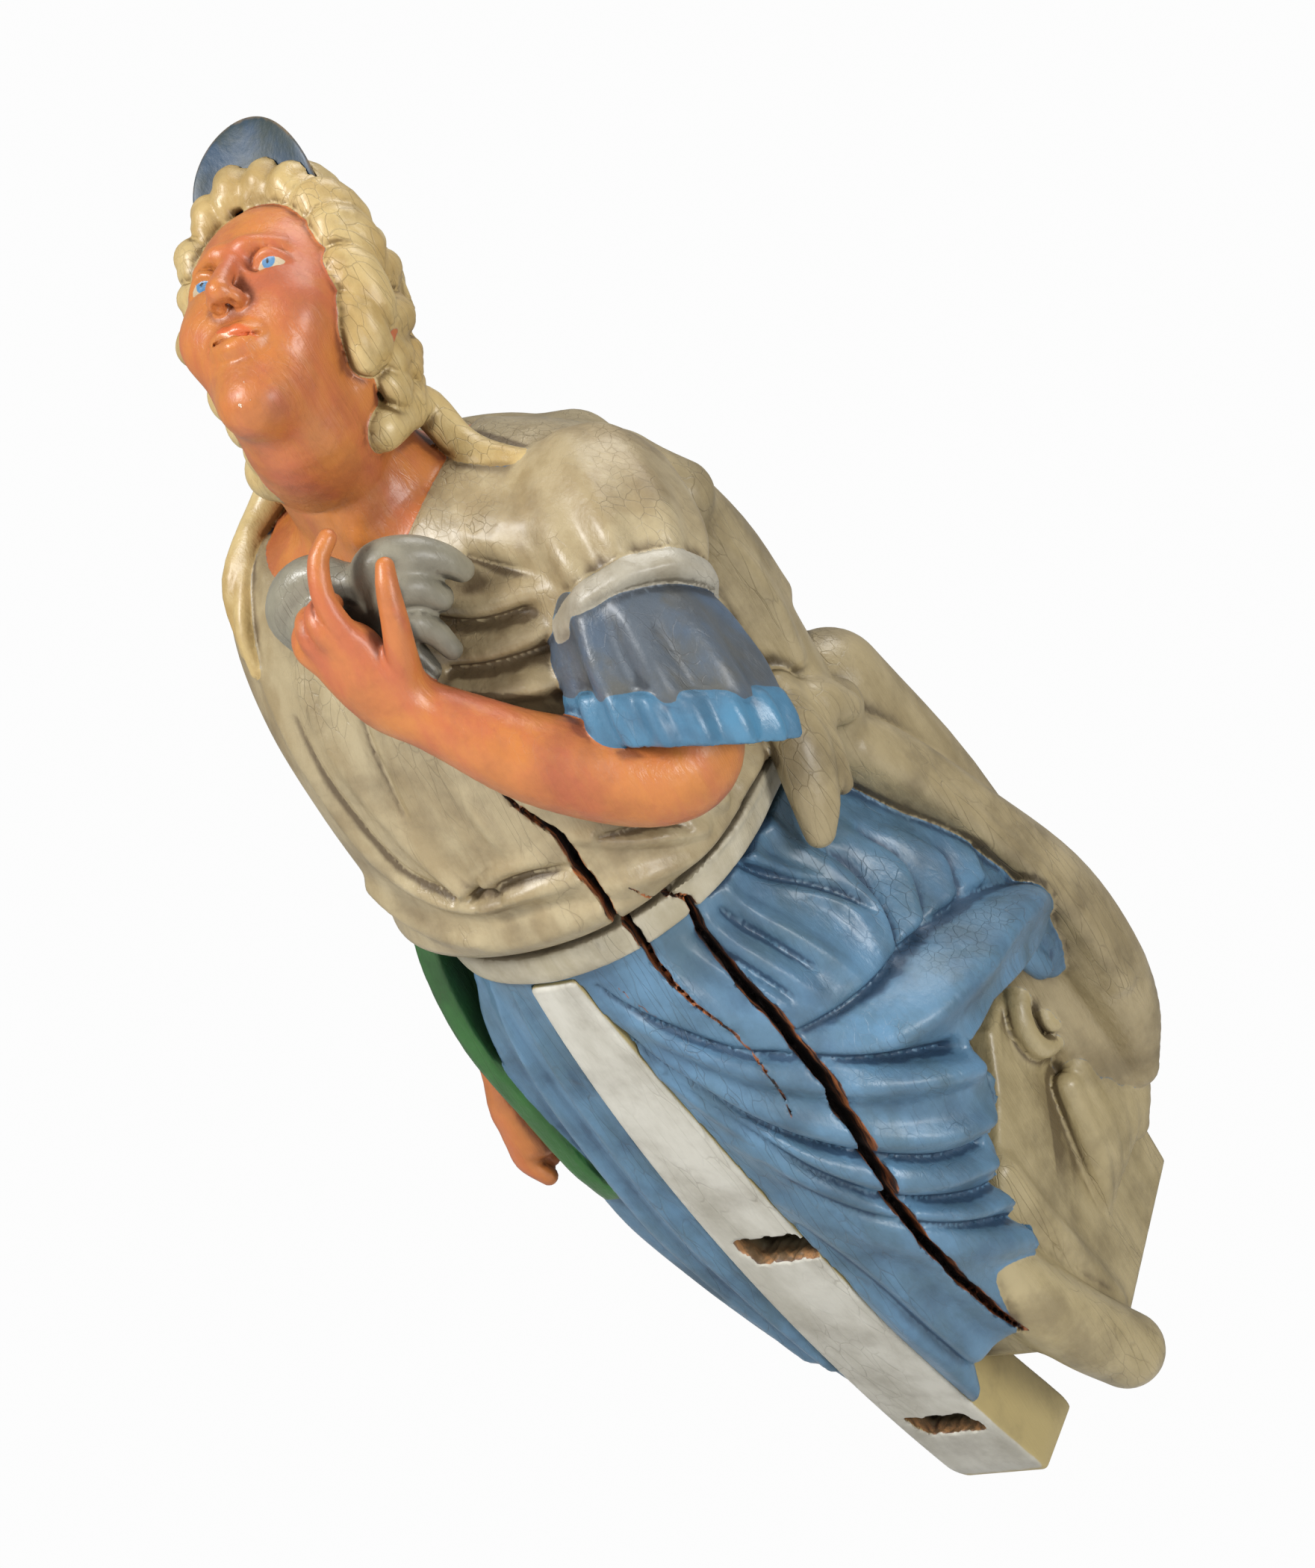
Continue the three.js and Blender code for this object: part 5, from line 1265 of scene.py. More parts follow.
class Sculpture:
    """Every carved surface of the figure, kept by paint region."""
    REGIONS = ["skirt", "belt", "blouse", "skin", "hair", "cuff", "band", "mantle", "leaf", "ruffle",
               "base", "hem"]

    def __init__(self) -> None:
        """Sets out every form."""
        self.skirt, self.belt, self.blouse, self.chest, self.leaf = Skirt(), Belt(), Blouse(), Chest(), Leaf()
        self.arm, self.hand = arm_forms(), hand_forms()
        self.sleeve, self.right = sleeve_forms(), right_side_forms()
        self.ruffle = ruffle_forms()
        self.head, self.face, self.cuts, self.eyes, self.lids, self.ears = head_forms()
        self.cap, self.curls = hair_forms()
        self.neck, self.locks = neck_forms()
        self.mantle = mantle_forms()
        self.behind = [Limb([[196, -150, -200, 44], [222, -196, -300, 42], [234, -224, -380, 32],
                             [234, -232, -430, 16]], 4),
                       Limb([[216, -140, -250, 14], [240, -170, -330, 18], [250, -190, -400, 14]], 4)]
        self.panel, self.spiral, self.lobes, self.roll, self.base_ridge = base_forms()
        self.bed = Timber(grow=0.6, lowest=-1040.0, proud=60.0, rounding=0.5)
        self.cracks = [Crack(path) for path in CRACKS]
        self.crest = Crest(0.6)

    def regions(self, block: Block) -> dict[str, Values]:
        """Field of each paint region near the block."""
        out = {}
        join = block.join
        out["skirt"] = blend_of(join([self.skirt], 1), join(self.behind, 8.0), 10.0)
        out["belt"] = join([self.belt], 1)
        blouse = blend_of(join([self.blouse], 1), join(self.sleeve["puff"], 14.0), 16.0)
        out["blouse"] = blend_of(blouse, join(self.right["sleeve"], 8.0), 12.0)
        out["skin"] = self.skin(block)
        hair = blend_of(join(self.cap, 20.0), join(self.curls, 1.2), 4.0)
        out["hair"] = blend_of(hair, join(self.locks, 5.0), 6.0)
        out["cuff"] = blend_of(join(self.sleeve["cuff"], 4.0), join(self.right["cuff"], 4.0), 1.0)
        out["hem"] = join(self.sleeve["hem"], 4.0)
        out["band"] = join(self.sleeve["band"], 3.0)
        base = blend_of(join(self.panel, 4.0), join(self.base_ridge, 4.0), 14.0)
        base = blend_of(base, join(self.spiral, 3.0), 4.0)
        base = blend_of(base, join(self.lobes, 4.0), 6.0)
        base = blend_of(base, join(self.roll, 6.0), 10.0)
        out["base"] = base
        out["mantle"] = join(self.mantle, 12.0)
        out["leaf"] = join([self.leaf], 1)
        out["ruffle"] = join(self.ruffle, 7.0)
        return {name: value for name, value in out.items() if value is not None}

    def face_bare(self, block: Block) -> Values:
        """The face with its sockets cut, without eyeballs and lids."""
        head = blend_of(block.join(self.head, 26.0), block.join(self.face, 6.0), 7.0)
        if head is not None:
            for cut in self.cuts:
                if cut.near(block.span):
                    head = soft_max(head, -cut.field(block.p), 9.0 if cut in self.cuts[:2] else 2.0)
        return head

    def skin(self, block: Block) -> Values:
        """Everything that is painted as skin."""
        join = block.join
        head = self.face_bare(block)
        if head is not None:
            head = blend_of(head, join(self.eyes, 1.0), 0.5)
            head = blend_of(head, join(self.lids, 1.5), 2.5)
        head = blend_of(head, join(self.ears, 4.0), 4.0)
        neck = blend_of(head, join(self.neck, 14.0), 16.0)
        skin = blend_of(neck, join([self.chest], 1), 34.0)
        hand = blend_of(join(self.hand[:2], 16.0), join(self.hand[2:], 2.0), 8.0)
        arm = blend_of(join(self.arm, 22.0), hand, 12.0)
        return blend_of(blend_of(skin, arm, 0.5), join(self.right["arm"], 6.0), 0.5)

    def marks(self, p: Points) -> dict[str, Values]:
        """Numbers for the paint at points on the surface.

        Args:
            p: Points in the body frame.

        Returns:
            Values by attribute name: how far inside each coat, split, lip and eye a point is.
        """
        limit = 6.0
        table = np.full((len(p), len(self.REGIONS)), FAR * 1.5)
        extra = {name: np.full(len(p), -limit) for name in ("split", "split_depth", "in_eye", "in_lip",
                                                            "gaze")}
        extra["gaze"][:] = 30.0
        for rows in blocks_of(p, BLOCK_SIDE):
            block = Block(p[rows])
            for name, value in self.regions(block).items():
                table[rows, self.REGIONS.index(name)] = value
            for crack in self.cracks:
                if crack.near(block.span):
                    extra["split"][rows] = np.maximum(extra["split"][rows], -crack.field(block.p))
                    extra["split_depth"][rows] = -LOFT.frame(block.p)[2]
            if self.eyes[0].near(block.span) or self.eyes[1].near(block.span):
                self.mark_face(block, rows, extra)
        out = {name: np.clip(values, -limit, 30.0) for name, values in extra.items()}
        for k, name in enumerate(self.REGIONS):
            others = np.delete(table, k, axis=1).min(axis=1)
            out["in_" + name] = np.clip(others - table[:, k], -limit, limit)
        return out

    def mark_face(self, block: Block, rows: np.ndarray, extra: dict[str, Values]) -> None:
        """Lips, eyeballs and the gaze on the eyeballs."""
        q = (block.p - HEAD_AT) @ HEAD_AXES / HEAD_SCALE
        q[:, 2] /= HEAD_TALL
        ball = block.join(self.eyes, 0.5)
        around = blend_of(self.face_bare(block), block.join(self.lids, 1.5), 2.5)
        if ball is not None and around is not None:
            extra["in_eye"][rows] = np.where(q[:, 1] > 66, around - ball, -6.0)
        gaze = np.minimum(*(np.hypot(q[:, 0] - side * 30.5, q[:, 2] - 8.5) for side in (1, -1)))
        extra["gaze"][rows] = np.where(q[:, 1] > 60, gaze, 30.0)
        lip = 1.0 - np.sqrt((q[:, 0] / 21.0) ** 2 + ((q[:, 2] + 50.0 + 0.006 * q[:, 0] ** 2) / 10.0) ** 2)
        extra["in_lip"][rows] = np.where(q[:, 1] > 66, lip * 8.0, -6.0)

    def field(self, p: Points) -> Values:
        """Signed distance in millimetres, below nought inside."""
        block = Block(p)
        d = None
        for value in self.regions(block).values():
            d = blend_of(d, value, 4.0)
        if d is None:
            return block.far
        d = np.maximum(d, BACK_F - p[:, 1])
        for form in (*self.cracks, self.bed, self.crest):
            if form.near(block.span):
                d = np.maximum(d, -form.field(p))
        return d


CREST_HALF = 56.0
CREST_TALL = 62.0
CREST_THICK = 12.0
CREST_SCOOP = 22.0
CREST_FOOT = np.array([-2.0, 50.0, 88.0])
CREST_LEAN = math.radians(40.0)


def crest_place(local: Points) -> Points:
    """Crest's own axes (across, out, up), in head millimetres, to the body frame."""
    s, c = math.sin(CREST_LEAN), math.cos(CREST_LEAN)
    ear = CREST_FOOT[0] + local[:, 0]
    face = CREST_FOOT[1] + local[:, 2] * s + local[:, 1] * c
    crown = CREST_FOOT[2] + local[:, 2] * c - local[:, 1] * s
    return HEAD_AT + np.stack([ear, face, crown * HEAD_TALL], axis=1) @ HEAD_AXES.T * HEAD_SCALE


class Crest(Form):
    """Bed of the crest in the hair: the shell's own shape, a little larger."""

    def __init__(self, grow: float = 0.0) -> None:
        """Sets how much the shell is grown."""
        self.grow = grow
        self.set_box(in_head(0, 90, 130)[None], 150.0)

    def field(self, p: Points) -> Values:
        """Signed distance in millimetres, below nought inside."""
        q = (p - HEAD_AT) @ HEAD_AXES / HEAD_SCALE
        y = q[:, 1] - CREST_FOOT[1]
        z = q[:, 2] / HEAD_TALL - CREST_FOOT[2]
        s, c = math.sin(CREST_LEAN), math.cos(CREST_LEAN)
        across, rise = (q[:, 0] - CREST_FOOT[0]) / CREST_HALF, (y * s + z * c) / CREST_TALL
        edge = np.hypot(across, rise)
        bowl = -CREST_SCOOP * (1.0 - across ** 2) * (0.35 + 0.65 * rise)
        skin = np.abs(y * c - z * s - bowl) - 0.5 * CREST_THICK * np.sqrt(np.clip(1.0 - edge ** 2, 0.0,
                                                                                  1.0))
        return np.maximum(skin * 0.8, (edge - 1.0) * CREST_HALF) * HEAD_SCALE - self.grow


# ---------------------------------------------------------------- placing in the row frame
LEAN_DEG = 45.0
MM = 0.001


def to_row_frame(p: Points) -> Points:
    """Body frame in millimetres to the row frame in metres.

    Args:
        p: Points as (l, f, u).

    Returns:
        Points as (x, y, z), with the origin on the mount.
    """
    along = p[:, 2] - MOUNT_U
    out = p[:, 1] - BACK_F
    s, c = math.sin(math.radians(LEAN_DEG)), math.cos(math.radians(LEAN_DEG))
    return np.stack([p[:, 0], -s * along - c * out, c * along - s * out], axis=1) * MM


def plain_mesh(name: str, verts: Points, quads: np.ndarray) -> bpy.types.Mesh:
    """A Blender mesh from arrays.

    Args:
        name: Name of the mesh.
        verts: Corner positions.
        quads: Four corner indices a face.

    Returns:
        The new mesh.
    """
    mesh = bpy.data.meshes.new(name)
    sides = quads.shape[1]
    mesh.vertices.add(len(verts))
    mesh.vertices.foreach_set("co", verts.astype(np.float32).ravel())
    mesh.loops.add(quads.size)
    mesh.loops.foreach_set("vertex_index", quads.astype(np.int32).ravel())
    mesh.polygons.add(len(quads))
    mesh.polygons.foreach_set("loop_start", np.arange(0, quads.size, sides, dtype=np.int32))
    mesh.update(calc_edges=True)
    mesh.validate()
    return mesh


def lightened(mesh: bpy.types.Mesh, triangles: int) -> bpy.types.Mesh:
    """The same surface with fewer triangles where it is plain.

    Args:
        mesh: Mesh of quads.
        triangles: Most triangles to keep.

    Returns:
        A new mesh.
    """
    holder = bpy.data.objects.new("lighten", mesh)
    bpy.context.scene.collection.objects.link(holder)
    mesh.calc_loop_triangles()
    now = len(mesh.loop_triangles)
    if now > triangles:
        thin = holder.modifiers.new("thin", "DECIMATE")
        thin.ratio = triangles / now
    made = bpy.data.meshes.new_from_object(holder.evaluated_get(bpy.context.evaluated_depsgraph_get()))
    bpy.data.objects.remove(holder)
    bpy.data.meshes.remove(mesh)
    return made


def corners_of(mesh: bpy.types.Mesh) -> Points:
    """Vertex positions of a mesh as an array."""
    flat = np.empty(len(mesh.vertices) * 3, np.float32)
    mesh.vertices.foreach_get("co", flat)
    return flat.reshape(-1, 3).astype(float)


def normals_of(mesh: bpy.types.Mesh) -> Points:
    """Vertex normals of a mesh as an array."""
    flat = np.empty(len(mesh.vertices) * 3, np.float32)
    mesh.vertices.foreach_get("normal", flat)
    return flat.reshape(-1, 3).astype(float)


def add_values(mesh: bpy.types.Mesh, name: str, values: Values) -> None:
    """Stores one number a vertex, for the paint to read.

    Args:
        mesh: Mesh to add to.
        name: Name that the shader reads.
        values: One number for each vertex.
    """
    layer = mesh.attributes.new(name, "FLOAT", "POINT")
    layer.data.foreach_set("value", values.astype(np.float32))


def finish_piece(name: str, mesh: bpy.types.Mesh, material: bpy.types.Material, node: str) -> bpy.types.Object:
    """Makes the object, dresses it and ties it to the frame.

    Args:
        name: Name of the piece.
        mesh: Mesh already in the row frame.
        material: Its paint.
        node: The node that it stands for.

    Returns:
        The finished object.
    """
    mesh.name = name
    mesh.polygons.foreach_set("use_smooth", np.full(len(mesh.polygons), True))
    mesh.set_sharp_from_angle(angle=math.radians(62.0))
    mesh.materials.clear()
    mesh.materials.append(material)
    piece = bpy.data.objects.new(name, mesh)
    bpy.context.scene.collection.objects.link(piece)
    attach(piece, "root")
    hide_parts(node)
    LOG.info("%s: %d faces", name, len(mesh.polygons))
    return piece


# ---------------------------------------------------------------- shader building
Socket = bpy.types.NodeSocket


class Graph:
    """Short ways to add nodes to a shader tree."""

    def __init__(self, tree: bpy.types.NodeTree) -> None:
        """Args:
            tree: Tree that the nodes go to.
        """
        self.tree = tree

    def put(self, socket: Socket, value: object) -> None:
        """Links a socket, or sets its value."""
        if isinstance(value, bpy.types.NodeSocket):
            self.tree.links.new(value, socket)
        elif isinstance(value, tuple) and len(value) == 3 and socket.type == "RGBA":
            socket.default_value = (*value, 1.0)
        else:
            socket.default_value = value

    def add(self, kind: str, inputs: dict | None = None, **settings: object) -> bpy.types.Node:
        """Adds a node.

        Args:
            kind: Its type.
            inputs: Values or sockets by input name or number.
            settings: Properties of the node itself.

        Returns:
            The node.
        """
        node = self.tree.nodes.new(kind)
        for key, value in settings.items():
            setattr(node, key, value)
        for key, value in (inputs or {}).items():
            self.put(node.inputs[key], value)
        return node

    def math(self, operation: str, a: object, b: object = 0.0, clamp: bool = False) -> Socket:
        """One arithmetic step."""
        return self.add("ShaderNodeMath", {0: a, 1: b}, operation=operation, use_clamp=clamp).outputs[0]

    def band(self, value: object, low: object, high: object) -> Socket:
        """Smooth step from 0 at low to 1 at high."""
        node = self.add("ShaderNodeMapRange", {"Value": value, "From Min": low, "From Max": high},
                        interpolation_type="SMOOTHSTEP")
        return node.outputs["Result"]

    def mix(self, factor: object, a: object, b: object, blend: str = "MIX") -> Socket:
        """Mixes two colours."""
        node = self.add("ShaderNodeMix", data_type="RGBA", blend_type=blend)
        self.put(node.inputs[0], factor)
        self.put(node.inputs[6], a)
        self.put(node.inputs[7], b)
        return node.outputs[2]

    def noise(self, vector: Socket, scale: float, detail: float = 4.0, rough: float = 0.55,
              warp: float = 0.0) -> Socket:
        """Cloudy pattern from 0 to 1."""
        node = self.add("ShaderNodeTexNoise", {"Vector": vector, "Scale": scale, "Detail": detail,
                                                "Roughness": rough, "Distortion": warp})
        return node.outputs[0]

    def stored(self, name: str) -> Socket:
        """A number kept on the mesh."""
        return self.add("ShaderNodeAttribute", attribute_name=name).outputs["Fac"]

    def stretched(self, vector: Socket, scale: tuple[float, float, float]) -> Socket:
        """Coordinates along the grain, which runs up the leaning body."""
        turned = self.add("ShaderNodeMapping",
                          {"Vector": vector, "Rotation": (-math.radians(LEAN_DEG), 0.0, 0.0)},
                          vector_type="POINT")
        return self.add("ShaderNodeMapping", {"Vector": turned.outputs[0], "Scale": scale}).outputs[0]


def new_group(name: str, inputs: dict[str, tuple[str, float]], outputs: dict[str, str]) -> tuple:
    """Starts a shader node group.

    Args:
        name: Name of the group.
        inputs: Socket type and default by input name.
        outputs: Socket type by output name.

    Returns:
        The tree, its Graph, the node that gives the inputs and the node that takes the outputs.
    """
    tree = bpy.data.node_groups.new(name, "ShaderNodeTree")
    for label, (kind, default) in inputs.items():
        made = tree.interface.new_socket(label, in_out="INPUT", socket_type=kind)
        if kind == "NodeSocketFloat":
            made.default_value = default
    for label, kind in outputs.items():
        tree.interface.new_socket(label, in_out="OUTPUT", socket_type=kind)
    graph = Graph(tree)
    return tree, graph, tree.nodes.new("NodeGroupInput"), tree.nodes.new("NodeGroupOutput")


VECTOR = ("NodeSocketVector", 0.0)


class Wear:
    """The shared ageing effects and the painted shade of hollows, each one a node group built once."""

    def __init__(self) -> None:
        """Builds the groups."""
        self.spots = self.build_spots()
        self.checks = self.build_checks()
        self.grime_and_shade = self.build_grime_and_shade()
        self.brush = self.build_brush()

    def build_spots(self) -> bpy.types.NodeTree:
        """Ragged flakes of lost paint: more of them where Proud is high."""
        tree, graph, given, out = new_group("lost_flakes", {
            "Vector": VECTOR, "Scale": ("NodeSocketFloat", 40.0), "Amount": ("NodeSocketFloat", 0.1),
            "Proud": ("NodeSocketFloat", 0.0)}, {"Mask": "NodeSocketFloat", "Core": "NodeSocketFloat"})
        fine = graph.add("ShaderNodeTexNoise",
                         {"Vector": given.outputs[0], "Scale": given.outputs[1], "Detail": 6.0,
                                                "Roughness": 0.62})
        coarse_scale = graph.math("MULTIPLY", given.outputs[1], 0.13)
        coarse = graph.add("ShaderNodeTexNoise",
                           {"Vector": given.outputs[0], "Scale": coarse_scale, "Detail": 2.0})
        both = graph.math("ADD", graph.math("MULTIPLY", fine.outputs[0], 0.62),
                          graph.math("MULTIPLY", coarse.outputs[0], 0.38))
        lift = graph.math("MULTIPLY", given.outputs[3], 0.10)
        level = graph.math("ADD", graph.math("ADD", both, lift), given.outputs[2])
        tree.links.new(graph.band(level, 0.70, 0.71), out.inputs["Mask"])
        tree.links.new(graph.band(level, 0.725, 0.735), out.inputs["Core"])
        return tree

    def build_checks(self) -> bpy.types.NodeTree:
        """Fine age cracks in the paint."""
        tree, graph, given, out = new_group("paint_checks", {
            "Vector": VECTOR, "Scale": ("NodeSocketFloat", 60.0), "Width": ("NodeSocketFloat", 0.03)},
            {"Mask": "NodeSocketFloat"})
        warp = graph.add("ShaderNodeTexNoise", {"Vector": given.outputs[0], "Scale": 18.0, "Detail": 3.0})
        bent = graph.add("ShaderNodeVectorMath", {0: given.outputs[0]}, operation="ADD")
        small = graph.add("ShaderNodeVectorMath", {0: warp.outputs["Color"], 3: 0.03}, operation="SCALE")
        tree.links.new(small.outputs[0], bent.inputs[1])
        cells = graph.add("ShaderNodeTexVoronoi", {"Vector": bent.outputs[0], "Scale": given.outputs[1]},
                          feature="DISTANCE_TO_EDGE")
        line = graph.math("SUBTRACT", 1.0, graph.band(cells.outputs["Distance"], 0.0, given.outputs[2]))
        part = graph.band(graph.noise(given.outputs[0], 9.0, 3.0), 0.45, 0.62)
        tree.links.new(graph.math("MULTIPLY", line, part), out.inputs["Mask"])
        return tree

    def build_grime_and_shade(self) -> bpy.types.NodeTree:
        """Grime in hollows and in random patches; the darkening in hollows is also painted shade."""
        tree, graph, given, out = new_group("grime_and_hollow_shade", {
            "Vector": VECTOR, "Hollow": ("NodeSocketFloat", 0.0), "Amount": ("NodeSocketFloat", 0.5)},
            {"Mask": "NodeSocketFloat"})
        cloud = graph.noise(given.outputs[0], 14.0, 5.0, 0.6)
        # Painted shade and grime: darker the more hollow the surface is.
        deep = graph.band(graph.math("ADD", given.outputs[1], graph.math("MULTIPLY", cloud, 0.35)), 0.25,
                          1.05)
        film = graph.math("MULTIPLY", graph.band(cloud, 0.42, 0.72), 0.5)
        total = graph.math("MULTIPLY", graph.math("ADD", deep, film), given.outputs[2], clamp=True)
        tree.links.new(total, out.inputs["Mask"])
        return tree

    def build_brush(self) -> bpy.types.NodeTree:
        """Brush strokes and lumps under old paint, as a height."""
        tree, graph, given, out = new_group("brushed_coats", {
            "Vector": VECTOR, "Grain": VECTOR, "Lumps": ("NodeSocketFloat", 1.0)},
            {"Height": "NodeSocketFloat"})
        strokes = graph.noise(given.outputs[1], 120.0, 4.0, 0.6)
        lumps = graph.math("MULTIPLY", graph.noise(given.outputs[0], 70.0, 4.0, 0.6), given.outputs[2])
        soft = graph.math("MULTIPLY", graph.noise(given.outputs[0], 22.0, 3.0, 0.5), 2.0)
        tree.links.new(graph.math("ADD", graph.math("ADD", strokes, lumps), soft), out.inputs["Height"])
        return tree

    def place(self, graph: Graph, group: bpy.types.NodeTree, inputs: dict) -> bpy.types.Node:
        """Adds one of the groups to a material."""
        node = graph.add("ShaderNodeGroup", node_tree=group)
        for key, value in inputs.items():
            graph.put(node.inputs[key], value)
        return node


def linear(code: str) -> tuple[float, float, float]:
    """Linear colour from a hex code such as 5C7F9F."""
    values = [int(code[k:k + 2], 16) / 255.0 for k in (0, 2, 4)]
    return tuple(v / 12.92 if v <= 0.04045 else ((v + 0.055) / 1.055) ** 2.4 for v in values)


@dataclass(frozen=True)
class Coat:
    """Oil paint of one region: its main colour, the colour it drifts to, the colour its hollows darken to as
    grime and painted shade, and the lighter colour of its proud ridges as rubbed wear and painted highlight.
    """
    colour: str
    drift: str
    hollow: str
    grime_and_shade: float = 0.7
    worn: str = "CFC6B2"
    worn_and_highlight_part: float = 0.35


# Each coat's third colour is what its hollows darken to, grime and painted shade; its worn colour lightens
# proud ridges, rubbed wear and painted highlight.
COATS: dict[str, Coat] = {
    "skirt": Coat("5D83A0", "4B6879", "27405A", 0.85, "86A9B8", 0.6),
    "belt": Coat("C4BCA6", "A79C80", "5E5038", 0.7),
    "blouse": Coat("AFA07E", "94825F", "54432A", 0.9, "CFC5A8", 0.55),
    "skin": Coat("C07838", "B5603A", "65301A", 0.7, "DD9468", 0.5),
    "hair": Coat("C8B27E", "AD9058", "6A5228", 0.85, "E2D4A8", 0.55),
    "cuff": Coat("4E5F72", "555550", "2B3036", 0.7, "5F83A0", 0.55),
    "hem": Coat("4C7F9E", "41667F", "24405A", 0.7, "86AEBF", 0.6),
    "band": Coat("B0AA9A", "918874", "4E4532", 0.7),
    "mantle": Coat("AA9A76", "8F7F5C", "4C3F28", 0.9, "C9BC98", 0.5),
    "leaf": Coat("2C6A26", "23501F", "12300F", 0.7, "4F7F35", 0.35),
    "ruffle": Coat("8F8A78", "757060", "37332A", 0.8, "B2AD9A", 0.4),
    "base": Coat("B4A47C", "9E8E66", "55462C", 0.85, "CFC19A", 0.5),
}
GESSO = "E9E0D0"
BARE_WOOD = "A9622F"
DARK_WOOD_AND_DEEP_SHADE = "1A0E08"
EYE_WHITE = "BBA98C"
IRIS_BLUE = "4F7EA6"
PUPIL = "14161A"
LIP_RED = "C4562F"


@dataclass(frozen=True)
class CarvingPaint:
    """Aged oil paint over the whole carving, region by region, with painted shade in hollows and deep splits
    and painted highlight on proud ridges.
    """
    edge: float = 0.4
    jitter: float = 1.6

    def build(self, wear: Wear) -> bpy.types.Material:
        """Makes the material.

        Args:
            wear: The shared ageing effects.

        Returns:
            The material.
        """
        material = bpy.data.materials.new("aged_carving_paint")
        material.use_nodes = True
        graph = Graph(material.node_tree)
        shader = material.node_tree.nodes["Principled BSDF"]
        coords = graph.add("ShaderNodeTexCoord").outputs["Object"]
        grain = graph.stretched(coords, (1.0, 1.0, 0.08))
        cloud = graph.band(graph.noise(coords, 7.0, 6.0, 0.62, 0.6), 0.36, 0.64)
        streak = graph.noise(graph.stretched(coords, (1.0, 1.0, 0.22)), 26.0, 5.0, 0.6)
        drift = graph.math("MULTIPLY", graph.math("ADD", cloud, graph.band(streak, 0.4, 0.62)), 0.5)
        proud, hollow = graph.stored("proud"), graph.stored("hollow")
        # Rubbed wear and painted highlight: proud ridges, broken up by noise.
        rub_and_highlight = graph.math("MULTIPLY", graph.band(graph.math("ADD", proud,
                                                           graph.math("MULTIPLY", streak, 0.5)), 0.3, 0.75),
                         graph.band(graph.noise(coords, 30.0, 4.0), 0.3, 0.7))
        wobble = graph.math("MULTIPLY", graph.math("SUBTRACT", graph.noise(coords, 160.0, 3.0), 0.5),
                            self.jitter)
        # Grime and painted shade: the mask is strongest where the surface is hollow.
        grime_and_shade = wear.place(graph, wear.grime_and_shade, {"Vector": coords, "Hollow": hollow, "Amount": 1.0}).outputs[0]
        colour = None
        for name, coat in COATS.items():
            own = graph.mix(drift, linear(coat.colour), linear(coat.drift))
            # Proud ridges lighten towards the worn colour: rubbed wear and painted highlight.
            own = graph.mix(graph.math("MULTIPLY", rub_and_highlight, coat.worn_and_highlight_part), own, linear(coat.worn))
            # Each coat darkens towards its hollow tint: grime and painted shade.
            own = graph.mix(graph.math("MULTIPLY", grime_and_shade, coat.grime_and_shade), own, linear(coat.hollow))
            if colour is None:
                colour = own
                continue
            inside = graph.math("ADD", graph.stored("in_" + name), wobble)
            colour = graph.mix(graph.band(inside, -self.edge, self.edge), colour, own)
        colour = self.paint_eyes(graph, colour)
        flakes = wear.place(graph, wear.spots,
                            {"Vector": coords, "Scale": 75.0, "Amount": -0.005, "Proud": proud})
        checks = wear.place(graph, wear.checks, {"Vector": grain, "Scale": 90.0, "Width": 0.035}).outputs[0]
        bare_skin = graph.band(graph.stored("in_skin"), -self.edge, self.edge)
        checks = graph.math("MULTIPLY", checks,
                            graph.math("SUBTRACT", 1.0, graph.math("MULTIPLY", bare_skin, 0.8)))
        colour = graph.mix(graph.math("MULTIPLY", checks, 0.22), colour, linear(COATS["mantle"].hollow))
        colour = graph.mix(flakes.outputs["Mask"], colour, linear(GESSO))
        colour = graph.mix(flakes.outputs["Core"], colour, linear(BARE_WOOD))
        split = graph.band(graph.stored("split"), -0.9, -0.1)
        # Inside the splits, the grained wood darkens to near black with depth: painted shade.
        depth = graph.band(graph.stored("split_depth"), 7.0, 22.0)
        torn = graph.mix(graph.band(graph.noise(grain, 90.0, 4.0, 0.7), 0.42, 0.62), linear(DARK_WOOD_AND_DEEP_SHADE),
                         linear(BARE_WOOD))
        torn = graph.mix(depth, torn, linear(DARK_WOOD_AND_DEEP_SHADE))
        colour = graph.mix(split, colour, torn)
        graph.put(shader.inputs["Base Color"], colour)
        rough = graph.math("ADD", 0.33, graph.math("MULTIPLY", cloud, 0.18))
        rough = graph.math("ADD", rough, graph.math("MULTIPLY", grime_and_shade, 0.18))
        lost = graph.math("MAXIMUM", flakes.outputs["Mask"], split)
        rough = graph.math("ADD", rough, graph.math("MULTIPLY", lost, 0.35), clamp=True)
        graph.put(shader.inputs["Roughness"], rough)
        brush = wear.place(graph, wear.brush, {"Vector": coords, "Grain": grain, "Lumps": 0.8}).outputs[0]
        height = graph.math("SUBTRACT", brush, graph.math("MULTIPLY", checks, 0.5))
        height = graph.math("SUBTRACT", height, graph.math("MULTIPLY", flakes.outputs["Mask"], 1.2))
        bump = graph.add("ShaderNodeBump", {"Strength": 0.65, "Distance": 0.0017, "Height": height})
        graph.put(shader.inputs["Normal"], bump.outputs[0])
        shader.inputs["Coat Weight"].default_value = 0.22
        shader.inputs["Coat Roughness"].default_value = 0.28
        return material

    def paint_eyes(self, graph: Graph, colour: Socket) -> Socket:
        """Adds the painted lips, eyes, irises and pupils."""
        lip = graph.band(graph.stored("in_lip"), -1.0, 1.2)
        colour = graph.mix(graph.math("MULTIPLY", lip, 0.7), colour, linear(LIP_RED))
        eye = graph.band(graph.stored("in_eye"), -0.3, 0.3)
        ring = graph.stored("gaze")
        iris = graph.math("SUBTRACT", 1.0, graph.band(ring, 5.4, 6.2))
        pupil = graph.math("SUBTRACT", 1.0, graph.band(ring, 2.0, 2.6))
        own = graph.mix(iris, linear(EYE_WHITE), linear(IRIS_BLUE))
        own = graph.mix(pupil, own, linear(PUPIL))
        return graph.mix(eye, colour, own)


